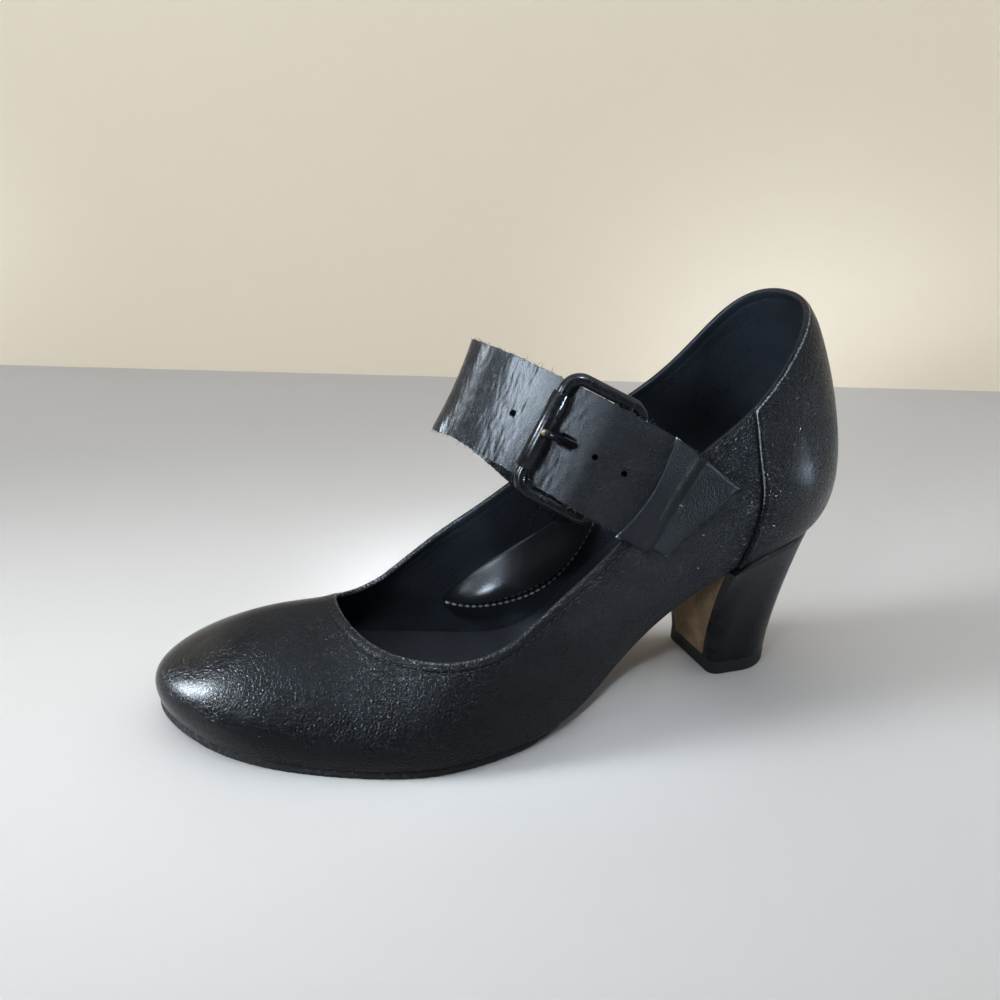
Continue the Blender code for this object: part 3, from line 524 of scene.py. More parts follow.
def leather(name, colour, roughness, cells, depth, creases, size=1900, share=0.02):
    """Finished leather with lint. Marks on its points: grain, worn edges and painted highlight, polish and
    dullness.
    """
    made, tree, shader = new_finish(name, colour, roughness, POLISH_ROUGHNESS, LEATHER_SHINE)
    vector = object_place(tree)
    grain = place_group(tree, pebble_grain, vector, cells=cells, creases=creases)
    worn = place_group(tree, edge_wear_and_sheen, vector, worn=mark_value(tree, "worn"), size=size)
    dust = place_group(tree, lint, vector, cells=210.0, share=share, dot=0.05)
    clouds = noise_value(tree, vector, 60.0, 3.0)
    tone = blend(tree, ramp(tree, clouds, 0.3, 0.7), colour, toned(colour, 1.5))
    # pale where worn; on the upper's top edge this is partly a painted highlight
    tone = blend(tree, worn, tone, WEAR_AND_SHEEN_GREY)
    rough = ramp(tree, clouds, 0.3, 0.7, roughness - 0.04, roughness + 0.08)
    rough = sums(tree, "SUBTRACT", rough, times(tree, grain, 0.06))
    rough = sums(tree, "ADD", rough, times(tree, mark_value(tree, "dull"), 0.4))
    height = sums(tree, "ADD", times(tree, grain, mark_value(tree, "grain")), times(tree, worn, 0.5))
    fill(tree, shader.inputs, {"Base Color": blend(tree, dust, tone, LINT_GREY),
                               "Roughness": sums(tree, "ADD", rough, times(tree, worn, 0.3)),
                               "Coat Weight": mark_value(tree, "gloss"),
                               "Normal": raised(tree, height, depth, 1.0)})
    return made


upper_leather = leather("upper_leather", LEATHER_BLACK, 0.20, 760.0, 0.00024, 0.2)
lining_leather = leather("lining_leather", LINING_BLACK, 0.34, 450.0, 0.00014, 0.9, share=0.01)

QUARTER_COLUMNS, VAMP_COLUMNS, WALL_ROWS, FOLD_ROWS = 120, 64, 46, 6
TURN_ROWS = (-2, -1, -0.84, -0.68, -0.52, -0.36, -0.2, -0.08)
EDGE_ROWS = (7.0, 6.2, 5.4, 4.7, 4.1, 3.6, 3.2, 2.8, 2.5, 2.2, 1.9, 1.6, 1.2, 0.8, 0.4, 0.0)
throat = float(bisect(lambda station: opening(skin(station, 1.0)) < 0, 3.0, TIP - 1.0))
along = np.concatenate([throat * (1 - (1 - np.arange(QUARTER_COLUMNS) / QUARTER_COLUMNS)**1.6),
                        throat + (TIP - throat) * (np.arange(VAMP_COLUMNS + 1) / VAMP_COLUMNS)**1.2])
stations = np.concatenate([along, ROUND - along[-2:0:-1]])
half_round = len(along) - 1
tops = np.ones(len(stations))
inner_columns = 2 * half_round - np.arange(QUARTER_COLUMNS - 1, 0, -1)
edge_columns = np.concatenate([np.arange(QUARTER_COLUMNS), inner_columns])
edge_ring = np.concatenate([np.arange(QUARTER_COLUMNS + 1), inner_columns])
tops[edge_columns] = top_rise(stations[edge_columns])
speed = np.linalg.norm(skin(stations, tops) - skin(stations, tops - 0.02), axis=-1) / 0.02
edge_start = tops - EDGE_ROWS[0] / speed
rises = np.concatenate([np.repeat([TURN_ROWS], len(stations), 0),
                        edge_start[:, None] * np.arange(WALL_ROWS) / WALL_ROWS,
                        tops[:, None] - np.array(EDGE_ROWS) / speed[:, None]], 1)
outside = skin(stations[:, None], rises)
normals = skin_normal(stations[:, None], rises)
edge_line = outside[edge_ring, -1]
edge_normals = normals[edge_ring, -1]
edge_ahead = unit(np.roll(edge_line, -1, 0) - np.roll(edge_line, 1, 0))
edge_in = unit(np.cross(edge_normals, edge_ahead))
edge_in *= np.sign(opening(edge_line + edge_in * 0.5) - opening(edge_line))[:, None]
closed_line = np.concatenate([edge_line, edge_line[:1]])
fine_line = spline(np.arange(len(closed_line)), closed_line, np.linspace(0, len(closed_line) - 1, 2400))
edge_far, _ = away_from(outside, fine_line)
push = FOLD_ROLL * bell(edge_far - 1.0, 0.75) - STITCH_PULL * bell(edge_far - STITCH_DOWN, 0.5)
for crease in CREASES:
    knots = np.linspace(0, 1, len(crease.places))
    path = spline(knots, crease.places, np.linspace(0, 1, 60))
    far, share = away_from(outside, skin(path[:, 0], path[:, 1]))
    push -= crease.depth * bell(far, crease.width) * np.sin(np.pi * np.clip(share, 0.02, 0.98))
dressed = outside + normals * push[..., None]
lining_dip = sum(depth * bell(edge_far - down, 0.6) for down, depth in LINING_DIPS)
inside = outside - normals * (WALL - lining_dip)[..., None]
edge_line = dressed[edge_ring, -1]
grid = numbered(outside)
size = grid.size
vamp_numbers = np.arange(QUARTER_COLUMNS, half_round)
grid[2 * half_round - vamp_numbers, -1] = grid[vamp_numbers, -1]
leather_faces = quads(grid, wrap_rows=True)
lining_faces = quads(grid + size, wrap_rows=True)
under_faces = quads(np.stack([grid[:, 0], grid[:, 0] + size], 1), wrap_rows=True)
fold = [grid[edge_ring, -1]]
fold_points = []
for step in range(1, FOLD_ROWS):
    angle = np.pi * step / FOLD_ROWS
    fold.append(2 * size + (step - 1) * len(edge_ring) + np.arange(len(edge_ring)))
    fold_points.append(edge_line + WALL / 2 * ((np.cos(angle) - 1) * edge_normals + np.sin(angle) * edge_in))
fold.append(grid[edge_ring, -1] + size)
fold_faces = quads(np.stack(fold, 1), wrap_rows=True)
fold_finish = np.tile([0, 0, 0, 0, 1, 1], len(edge_ring))
fold_size = len(edge_ring) * (FOLD_ROWS - 1)
x = outside[..., 0]
grain_mark = np.interp(x, [10, 60, 130, 175, 205, 225], [0.9, 0.95, 0.9, 0.6, 0.42, 0.35])
toe_gloss = np.interp(x, [196, 212], [0, 0.35])
worn_back = np.interp(edge_line[:, 0], *WORN_BACK) * (edge_line[:, 1] > 2)
# the folded rim: a painted highlight, paler towards the throat, with rubbed wear at the back
rim_sheen_and_wear = np.maximum(np.interp(edge_line[:, 0], [60, 150], [0.25, 0.5]), 0.36 * worn_back)
# a pale line just along the top edge: partly rubbed wear, partly a painted highlight where light catches the
# fold
wear_and_sheen_mark = 0.36 * bell(edge_far, 0.5) + 0.10 * bell(edge_far - 1.0, 0.5)
wear_and_sheen_mark += 0.20 * bell(edge_far, 1.5) * np.interp(x, *WORN_BACK) * (outside[..., 1] > 2)
upper = add_piece(
    "upper_shell", np.concatenate([dressed.reshape(-1, 3), inside.reshape(-1, 3), *fold_points]),
    leather_faces + lining_faces + under_faces + fold_faces, [upper_leather, lining_leather],
    {"grain": np.concatenate([grain_mark.ravel(), np.full(size, 0.7), np.full(fold_size, 0.5)]),
     "worn": np.concatenate([wear_and_sheen_mark.ravel(), np.zeros(size), np.tile(rim_sheen_and_wear, FOLD_ROWS - 1)]),
     "gloss": np.concatenate([toe_gloss.ravel(), np.zeros(size + fold_size)])}, 60,
    np.concatenate([np.zeros(len(leather_faces)), np.ones(len(lining_faces)), np.zeros(len(under_faces)),
                    fold_finish]))
settle(upper, "black_leather", "upper")

# Topline stitches. A single row of black waxed thread through the folded edge, pulled tight so
# that the leather puckers; the same tree sews the pad below.
STITCH_SPACING = 0.0023
STITCH = {"Spacing": STITCH_SPACING, "Length": STITCH_SPACING * 0.8, "Thread": 0.00045}
THREAD_SUNK = 0.12
THREAD_BLACK = (0.016, 0.016, 0.018)


def growing_tree(name, values):
    """An empty geometry tree that takes a line, named sizes and a finish."""
    tree = bpy.data.node_groups.new(name, "GeometryNodeTree")
    tree.interface.new_socket("Geometry", in_out="INPUT", socket_type="NodeSocketGeometry")
    for label, value in values:
        tree.interface.new_socket(label, in_out="INPUT", socket_type="NodeSocketFloat").default_value = value
    tree.interface.new_socket("Finish", in_out="INPUT", socket_type="NodeSocketMaterial")
    tree.interface.new_socket("Geometry", in_out="OUTPUT", socket_type="NodeSocketGeometry")
    given = add_node(tree, "NodeGroupInput").outputs
    curve = add_node(tree, "GeometryNodeMeshToCurve", {"Mesh": given["Geometry"]}).outputs[0]
    spaced = add_node(tree, "GeometryNodeResampleCurve", mode="LENGTH")
    fill(tree, spaced.inputs, {"Curve": curve, "Length": given["Spacing"]})
    return tree, given, spaced.outputs[0]


def end_tree(tree, given, instances):
    """Make the instances real, and give them their finish."""
    real = add_node(tree, "GeometryNodeRealizeInstances", {"Geometry": instances}).outputs[0]
    done = add_node(tree, "GeometryNodeSetMaterial", {"Geometry": real, "Material": given["Finish"]})
    tree.links.new(done.outputs[0], add_node(tree, "NodeGroupOutput").inputs[0])


def grow(name, lines, tree, finish, sizes, away=None):
    """Run a tree along open lines of places, and keep what it makes as a plain mesh."""
    mesh = bpy.data.meshes.new(name)
    starts = np.cumsum([0] + [len(line) for line in lines])
    edges = [(start + i, start + i + 1) for start, line in zip(starts, lines) for i in range(len(line) - 1)]
    mesh.from_pydata(to_frame(np.concatenate(lines)).tolist(), edges, [])
    if away is not None:
        layer = mesh.attributes.new("away", "FLOAT_VECTOR", "POINT")
        layer.data.foreach_set("vector", np.concatenate(away).astype(np.float32).ravel())
    piece = show(bpy.data.objects.new(name, mesh))
    modifier = piece.modifiers.new("grow", "NODES")
    modifier.node_group = tree
    values = sizes | {"Finish": finish}
    for socket in tree.interface.items_tree:
        if socket.in_out == "INPUT" and socket.name in values:
            modifier[socket.identifier] = values[socket.name]
    evaluated = piece.evaluated_get(bpy.context.evaluated_depsgraph_get())
    plain = bpy.data.meshes.new_from_object(evaluated)
    piece.modifiers.remove(modifier)
    piece.data = plain
    plain.shade_smooth()
    return piece


stitch_row, given, spaced = growing_tree("stitch_row", (("Spacing", 0.002), ("Length", 0.0017),
                                                        ("Thread", 0.0004)))
bead = add_node(stitch_row, "GeometryNodeMeshUVSphere", {"Segments": 6, "Rings": 5, "Radius": 0.5})
tangent = add_node(stitch_row, "GeometryNodeInputTangent").outputs[0]
turned = add_node(stitch_row, "FunctionNodeAlignRotationToVector", {"Vector": tangent}, axis="X")
stretch = add_node(stitch_row, "ShaderNodeCombineXYZ", {"X": given["Length"], "Y": given["Thread"],
                   "Z": given["Thread"]})
sewn = add_node(stitch_row, "GeometryNodeInstanceOnPoints", {"Points": spaced, "Instance": bead.outputs[0],
                "Rotation": turned.outputs[0], "Scale": stretch.outputs[0]})
end_tree(stitch_row, given, sewn.outputs[0])


def thread_finish(name, colour):
    """Twisted thread, with its strands as a fine bump."""
    made, tree, shader = new_finish(name, colour, 0.6)
    strands = noise_value(tree, object_place(tree), 3500.0, 2.0)
    fill(tree, shader.inputs, {"Base Color": blend(tree, strands, toned(colour, 0.6), toned(colour, 1.4)),
                               "Normal": raised(tree, strands, 0.0001, 0.6)})
    return made


black_thread = thread_finish("black_thread", THREAD_BLACK)
sewn_line = edge_line - edge_in * STITCH_DOWN - edge_normals * THREAD_SUNK
sewn_line = np.concatenate([sewn_line, sewn_line[:1]])
topline_stitches = grow("topline_stitches", [sewn_line], stitch_row, black_thread, STITCH)
settle(topline_stitches, "black_leather")

# Heel counter. A second piece of heavier-grained leather over the back of the quarters, its front
# edge folded and sewn as a seam on both sides. The fold is rubbed pale on the outer side.
COUNTER_THICKNESS = 1.0
COUNTER_BULGE = 2.0       # where the heel of the foot has pushed it out
BULGE_X, BULGE_Z, BULGE_WIDTH, BULGE_GLOSS = 20, 77, 12, 0.6
SEAM_ROLL, SEAM_GROOVE = (1.0, 0.20), (2.6, 0.22)      # distance from the seam's edge, and height or depth
SEAM_WORN = ((52, 62, 72, 84, 112), (0.15, 0.25, 0.55, 0.95, 1.0))    # height up the seam, share
TURN_START = -0.6         # rise at which its lower edge ends, round the turn
COUNTER_ROWS, COUNTER_HALF = 72, 84
Seam = namedtuple("Seam", "z x")
SEAM = [Seam(*row) for row in (
    (48, 41), (54, 39.7), (65, 37.5), (73, 36.6), (81, 37.2), (88, 38.9), (104, 42.4), (112, 44))]


def plate(lower, upper_side):
    """Points and faces of a closed bent plate between two grids of places."""
    numbers = numbered(lower)
    shift = numbers.size
    border = np.concatenate([numbers[0, :-1], numbers[:-1, -1], numbers[-1, :0:-1], numbers[:0:-1, 0]])
    faces = quads(numbers) + quads(numbers + shift)
    faces += quads(np.stack([border, border + shift]), wrap_columns=True)
    return np.concatenate([lower.reshape(-1, 3), upper_side.reshape(-1, 3)]), faces


def rounded(distance, radius):
    """Share of a plate's thickness near its edge: a quarter circle."""
    inward = 1 - np.clip(distance / radius, 0, 1)
    return np.sqrt(1 - 0.96 * inward**2)


counter_leather = leather("counter_leather", LEATHER_BLACK, 0.19, 700.0, 0.00040, 0.3)
back_stations = np.linspace(0, 5, 81)
back_tops = top_rise(back_stations)
shares = np.concatenate([np.linspace(TURN_START, -0.1, 6), np.linspace(0, 1, COUNTER_ROWS + 1)])


def back_rise(station):
    """Rises of the rows at a station: round the turn, then shares of the wall."""
    return np.where(shares < 0, shares, shares * np.interp(abs(station), back_stations, back_tops))


def past_seam(station):
    """True where a column of the back lies in front of the seam."""
    place = skin(station, back_rise(station))
    return place[:, 0] > profile(SEAM, place[:, 2])


limits = bisect(past_seam, np.full(len(shares), 0.8), np.full(len(shares), 4.5))
across = np.linspace(-1, 1, 2 * COUNTER_HALF + 1)
counter_stations = limits[:, None] * across
counter_rises = np.stack([back_rise(column) for column in counter_stations.T], 1)
ground = skin(counter_stations % ROUND, counter_rises)
normals = skin_normal(counter_stations % ROUND, counter_rises)
steps = np.linalg.norm(np.diff(ground, axis=1), axis=-1)
run = np.concatenate([np.zeros((len(shares), 1)), np.cumsum(steps, 1)], 1)
seam_far = np.minimum(run, run[:, -1:] - run)
fall = np.linalg.norm(np.diff(ground, axis=0), axis=-1)
depth = np.concatenate([np.zeros((1, len(across))), np.cumsum(fall, 0)], 0)
top_far = depth[-1:] - depth
edge_far = np.minimum(seam_far, top_far)
thick = COUNTER_THICKNESS * rounded(edge_far, 0.8) * np.interp(top_far, [0, 7], [0.35, 1])
thick = thick * np.interp(counter_rises, [TURN_START, 0.0], [0.15, 1])
thick += SEAM_ROLL[1] * bell(seam_far - SEAM_ROLL[0], 0.8)
thick -= SEAM_GROOVE[1] * bell(seam_far - SEAM_GROOVE[0], 0.7)
bulge = bell(np.hypot(ground[..., 0] - BULGE_X, ground[..., 2] - BULGE_Z), BULGE_WIDTH)
thick += COUNTER_BULGE * bulge
stand_off = GAP * np.interp(top_far, [0, 5], [0.15, 1])[..., None]
outer_side = ground[..., 1] > 0
seam_worn = np.interp(ground[..., 2], *SEAM_WORN) * np.where(outer_side, 1, 0.5)
wear_and_sheen_mark = 0.85 * bell(seam_far, 0.42) * seam_worn + 0.2 * bell(top_far, 0.6)
wear_and_sheen_mark += 0.50 * bell(top_far, 0.9) * np.interp(ground[..., 0], [8, 16], [0, 1]) * outer_side
points, faces = plate(ground + normals * stand_off, ground + normals * (stand_off + thick[..., None]))
marks = {"grain": np.concatenate([np.ones(ground.shape[:2]).ravel(), np.clip(seam_far / 2, 0.3, 1).ravel()]),
         "worn": np.tile(wear_and_sheen_mark.ravel(), 2),
         "gloss": np.tile(BULGE_GLOSS * bulge.ravel(), 2)}
counter = add_piece("counter_cover", points, faces, [counter_leather], marks, 60)
settle(counter, "black_leather", "heel_counter")

# Insole. A board covered with a smooth dark sock, lying on the turned-in margin of the upper;
# the foot has polished it and left it a little hollow under the ball.
INSOLE_THICKNESS = 2.0
INSOLE_INSET = 3.2        # from the feather line
BALL_X, BALL_LENGTH, BALL_HOLLOW = 150, 22, 0.5
EDGE_CURL = 0.6
SOCK_DARK = (0.028, 0.0285, 0.032)
INSOLE_ROWS, INSOLE_ACROSS = 120, 24


def bed(x, distance):
    """Height at a distance square to the underside of the upper."""
    slope = profile(FEATHER, x + 0.5) - profile(FEATHER, x - 0.5)
    return profile(FEATHER, x) + distance * np.hypot(1, slope)


def side_lines(edge):
    """The outer and the inner side line, moved out by edge(x), each as x and y rows."""
    around = np.linspace(0, ROUND, 961)
    line = feather_line(around)[:, :2]
    line = line + outward(around) * edge(line[:, 0])[:, None]
    half = len(around) // 2
    return line[:half + 1], line[:half - 1:-1]


sock_leather = leather("sock_leather", SOCK_DARK, 0.42, 700.0, 0.00008, 0.6, share=0.05)
outer_line, inner_line = side_lines(lambda x: np.full_like(x, -INSOLE_INSET))
reach = (1 - np.cos(np.linspace(0, np.pi, INSOLE_ROWS + 1))) / 2
xs = outer_line[0, 0] + (outer_line[-1, 0] - outer_line[0, 0]) * reach
outer_y = np.interp(xs, outer_line[:, 0], outer_line[:, 1])
inner_y = np.interp(xs, inner_line[:, 0], inner_line[:, 1])
share = np.linspace(0, 1, INSOLE_ACROSS + 1)
ys = outer_y[:, None] + (inner_y - outer_y)[:, None] * share
wide = np.repeat(xs[:, None], INSOLE_ACROSS + 1, 1)
hollow = BALL_HOLLOW * bell(wide - BALL_X, BALL_LENGTH) * np.sin(np.pi * share)
curl = EDGE_CURL * (2 * share - 1)**6
low = np.stack([wide, ys, bed(wide, WALL + GAP)], -1)
top = np.stack([wide, ys, bed(wide, WALL + GAP + INSOLE_THICKNESS) - hollow + curl], -1)
points, faces = plate(low, top)
insole = add_piece("insole_sock", points, faces, [sock_leather], {"grain": np.full(len(points), 0.8)})
settle(insole, "lining", "insole")

# Arch pad. A foam cushion under smooth glossy leather, glued and sewn to the inside of the inner
# quarter; two rows of pale thread hold down its flat edge, and it puckers between the stitches.
PAD_EDGE = 0.8
PAD_SWELL = 9.0
PAD_BORDER, PAD_CREST = 0.20, 0.40    # shares of the height: flat for sewing up to one, fullest at the other
PAD_PUCKER, PUCKER_LENGTH = 0.08, 2.5
PAD_STATION = ROUND - 5.5             # near its place round the last
PAD_BLACK = (0.012, 0.012, 0.013)
PAD_GRAIN, PAD_GLOSS = 0.6, 0.6
PAD_ROWS = (0.05, 0.14)               # shares of the height at which it is sewn
PAD_STITCH = {"Spacing": 0.0024, "Length": 0.0021, "Thread": 0.0009}
THREAD_GREY = (0.60, 0.61, 0.64)
PAD_LONG, PAD_HIGH = 110, 60
Pad = namedtuple("Pad", "x low high")
PAD = [Pad(*row) for row in (
    (72, 46, 62), (84, 30, 56), (92, 23.5, 51), (102, 19.5, 45), (115, 17.5, 36), (127, 18.5, 25))]


def on_skin(xs, zs, station):
    """Stations and rises of places given in the side view, looked for from a station near them."""
    spots = np.stack([np.full(xs.shape, float(station)), np.full(xs.shape, 0.35)], -1)
    for _ in range(30):
        here = skin(spots[..., 0], spots[..., 1])[..., [0, 2]]
        aside = skin(spots[..., 0] + 1e-3, spots[..., 1])[..., [0, 2]] - here
        above = skin(spots[..., 0], spots[..., 1] + 1e-3)[..., [0, 2]] - here
        slopes = np.stack([aside, above], -1) / 1e-3
        miss = np.stack([xs, zs], -1) - here
        spots = spots + np.clip(np.linalg.solve(slopes, miss[..., None])[..., 0], -0.2, 0.2)
    return spots[..., 0], spots[..., 1]


def pad_ends(share):
    """Places along the pad, and its lower and upper edge there, with its two ends rounded off."""
    x = PAD[0].x + (PAD[-1].x - PAD[0].x) * share
    edges = spline([row.x for row in PAD], [(row.low, row.high) for row in PAD], x)
    middle = edges.mean(1, keepdims=True)
    fullness = np.sqrt(np.maximum(1 - abs(2 * share - 1)**7, 0.01))[:, None]
    return x, middle + (edges - middle) * fullness


pad_leather = leather("pad_leather", PAD_BLACK, 0.20, 900.0, 0.00005, 0.2, share=0.03)
long_share = np.linspace(0, 1, PAD_LONG + 1)
xs, ends = pad_ends(long_share)
high_share = np.linspace(0, 1, PAD_HIGH + 1)
zs = ends[:, :1] + (ends[:, 1:] - ends[:, :1]) * high_share
pad_spot = on_skin(np.repeat(xs[:, None], PAD_HIGH + 1, 1), zs, PAD_STATION)
ground = skin(*pad_spot)
normals = skin_normal(*pad_spot)
from_end = 1 - abs(2 * long_share - 1)[:, None]
from_side = 1 - abs(2 * high_share - 1)[None, :]
climb = np.sin(np.pi / 2 * np.clip((high_share - PAD_BORDER) / (PAD_CREST - PAD_BORDER), 0, 1))
descent = np.cos(np.pi / 2 * np.clip((high_share - PAD_CREST) / (1 - PAD_CREST), 0, 1))**1.2
swell = climb * descent * (1 - abs(2 * long_share[:, None] - 1)**3)
thick = PAD_EDGE * rounded(np.minimum(from_end * 27, from_side * 12), 1.0) + (PAD_SWELL - PAD_EDGE) * swell
thick += PAD_PUCKER * np.sin(2 * np.pi * xs / PUCKER_LENGTH)[:, None] * bell(high_share - PAD_BORDER, 0.05)
thick = np.maximum(thick, 0.25)
points, faces = plate(ground - normals * (WALL + GAP), ground - normals * (WALL + GAP + thick[..., None]))
marks = {"grain": np.full(len(points), PAD_GRAIN), "gloss": np.full(len(points), PAD_GLOSS)}
pad = add_piece("pad_cushion", points, faces, [pad_leather], marks, 60)
settle(pad, "lining", "arch_pad")

grey_thread = thread_finish("grey_thread", THREAD_GREY)
line_x, line_ends = pad_ends(np.linspace(0.03, 0.97, 140))
pad_rows = []
for row_share in PAD_ROWS:
    line_z = line_ends[:, 0] + (line_ends[:, 1] - line_ends[:, 0]) * row_share
    line_spot = on_skin(line_x, line_z, PAD_STATION)
    pad_rows.append(skin(*line_spot) - skin_normal(*line_spot) * (WALL + GAP + PAD_EDGE + 0.25))
pad_stitches = grow("pad_stitches", pad_rows, stitch_row, grey_thread, PAD_STITCH)
settle(pad_stitches, "lining")

# Outsole. A thin moulded rubber sole cemented under the turned-in upper, from the heel breast to
# the toe; its edge is roughed and dusty at the forefoot and feathers away under the waist.
BREAST_X = 44.0
BREAST_TURN = 0.10        # the breast faces a little to the outer side: slope in plan
SOLE_ROUGH = 0.16         # unevenness of its edge
RUBBER_BLACK = (0.012, 0.012, 0.013)
DUST_PALE = (0.36, 0.36, 0.37)
SOLE_ROWS, SOLE_ACROSS = 260, 10
# side of the sole from its top to the ground: share of the depth, and how far it stands out
SOLE_EDGE = ((-0.3, -1.1), (0.0, -0.75), (0.2, -0.55), (0.45, -0.45), (0.75, -0.6), (1.0, -1.0))
SoleRow = namedtuple("SoleRow", "x edge thickness")
SOLE = [SoleRow(*row) for row in (
    (44, -6, 2.0), (70, -6, 2.0), (95, -3, 2.0), (115, -0.8, 2.2), (145, -0.4, 2.2), (230, -0.2, 2.2))]


def rubber(name, colour, roughness, size, depth, share):
    """Dull rubber: fine rough skin, scuffs and pale grit."""
    made, tree, shader = new_finish(name, colour, roughness)
    vector = object_place(tree)
    rough = noise_value(tree, vector, size, 5.0)
    worn = place_group(tree, edge_wear_and_sheen, vector, worn=mark_value(tree, "worn"), size=700.0)
    grit = place_group(tree, lint, vector, cells=900.0, share=share, dot=0.16)
    tone = blend(tree, ramp(tree, rough, 0.35, 0.65), colour, toned(colour, 2.2))
    tone = blend(tree, worn, tone, toned(colour, 6))
    fill(tree, shader.inputs, {"Base Color": blend(tree, grit, tone, DUST_PALE),
                               "Roughness": ramp(tree, rough, 0.3, 0.7, roughness - 0.1, roughness + 0.1),
                               "Normal": raised(tree, rough, depth, 0.8)})
    return made


sole_rubber = rubber("sole_rubber", RUBBER_BLACK, 0.72, 900.0, 0.0004, 0.10)
knots = [row.x for row in SOLE]
sole_lines = side_lines(lambda x: np.interp(x, knots, [row.edge for row in SOLE]))
starts = BREAST_X + GAP + 1.0
xs = starts + (sole_lines[0][-1, 0] - starts) * np.sin(np.linspace(0, np.pi / 2, SOLE_ROWS + 1))
rings = []
roughing = np.random.default_rng(7)
for x in xs:
    sides = [np.interp(x, line[:, 0], line[:, 1]) for line in sole_lines]
    thickness = np.interp(x, knots, [row.thickness for row in SOLE])
    ring = [(0, deep, out + roughing.uniform(-SOLE_ROUGH, SOLE_ROUGH)) for deep, out in SOLE_EDGE]
    ring += [(share, 1.0, 0.0) for share in np.linspace(0, 1, SOLE_ACROSS + 1)[1:-1]]
    ring += [(1, deep, out + roughing.uniform(-SOLE_ROUGH, SOLE_ROUGH)) for deep, out in SOLE_EDGE[::-1]]
    half_wide = max(abs(sides[0] - sides[1]) / 2, 1e-4)
    places = []
    for share, deep, out in ring:
        y = sides[0] + (sides[1] - sides[0]) * share + np.clip(out, -half_wide, half_wide) * (1 - 2 * share)
        place_x = x - BREAST_TURN * y * max(0.0, 1 - (x - starts) / 20)
        places.append((place_x, y, max(0.0, float(bed(place_x, -GAP - thickness * deep)))))
    rings.append(places)
sole_points = np.array(rings)
numbers = numbered(sole_points)
faces = quads(numbers, wrap_columns=True) + [tuple(numbers[0]), tuple(numbers[-1])]
sole_worn = np.interp(sole_points[..., 0], [90, 120, 200, 228], [0.0, 0.35, 0.45, 0.5])
outsole = add_piece("outsole_rubber", sole_points, faces, [sole_rubber], {"worn": sole_worn}, 50)
settle(outsole, "black_rubber", "outsole")

# Heel. A moulded block under a thin black skin that is wrapped round it from the back and turned
# over the two front edges, with a brown fibreboard face glued on the breast between them.
LIFT_HEIGHT = 5.5
SEAT_EDGE = 1.2           # heel's top edge stands out from the feather line
SEAT_LIP = ((1.1, 1.5), (0.6, 1.8), (-1.5, 0.05))   # edge and height of the lip that cups the upper
LIP_FADE = 6              # columns over which the lip sinks to the breast
HEEL_SWEEP = (1.7, 1.0)   # power of the curve from lift to seat, at the back and at the breast
HEEL_SIDES = 1.5          # and across
LIFT_FRONT, LIFT_HALF, LIFT_CORNER = 40.0, 14.5, 4.0
HEEL_LEVELS, HEEL_ARC, HEEL_STRAIGHT, HEEL_BREAST = 48, 30, 12, 12
HEEL_BLACK = (0.009, 0.0095, 0.0115)
FIBRE_BROWN = (0.28, 0.19, 0.115)


def lift_half(side):
    """Half of the lift's outline, from the back to the breast: round back, straight side, corner."""
    middle = LIFT_BACK + LIFT_HALF
    turned = LIFT_FRONT - side * BREAST_TURN * LIFT_HALF
    angle = np.linspace(0, np.pi / 2, HEEL_ARC + 1)
    arc = np.stack([middle - LIFT_HALF * np.cos(angle), side * LIFT_HALF * np.sin(angle)], 1)
    run = np.linspace(middle, turned - LIFT_CORNER, HEEL_STRAIGHT + 1)[1:]
    straight = np.stack([run, np.full(len(run), side * LIFT_HALF)], 1)
    angle = np.linspace(0, np.pi / 2, 9)[1:]
    corner = np.stack([turned - LIFT_CORNER * (1 - np.sin(angle)),
                       side * (LIFT_HALF - LIFT_CORNER * (1 - np.cos(angle)))], 1)
    return np.concatenate([arc, straight, corner])


def cap(ring):
    """Strips across a ring that starts on the middle line and runs round both sides."""
    size = len(ring)
    strips = [(ring[0], ring[1], ring[-1])]
    for i in range(1, (size - 1) // 2):
        strips.append((ring[i], ring[i + 1], ring[size - i - 1], ring[size - i]))
    if size % 2 == 0:
        strips.append((ring[size // 2 - 1], ring[size // 2], ring[size // 2 + 1]))
    return strips


def seat_outline(edge):
    """Halves of the heel's outline at the seat, standing out from the feather line by an edge."""
    outlines = {}
    for side, line in zip((1, -1), side_lines(lambda x: np.full_like(x, edge))):
        reach = int(np.argmax(line[:, 0] > BREAST_X - BREAST_TURN * line[:, 1]))
        run = np.concatenate([[0], np.cumsum(np.linalg.norm(np.diff(line[:reach + 1], axis=0), axis=1))])
        spread = np.linspace(0, run[-1], half_count)
        outlines[side] = np.stack([np.interp(spread, run, line[:reach + 1, i]) for i in (0, 1)], 1)
    return outlines


def whole_ring(ends):
    """A closed ring from its two halves, with the straight breast between their ends."""
    front = ends[1][-1] + (ends[-1][-1] - ends[1][-1]) * np.linspace(0, 1, HEEL_BREAST + 1)[1:-1, None]
    return np.concatenate([ends[1], front, ends[-1][:0:-1]])


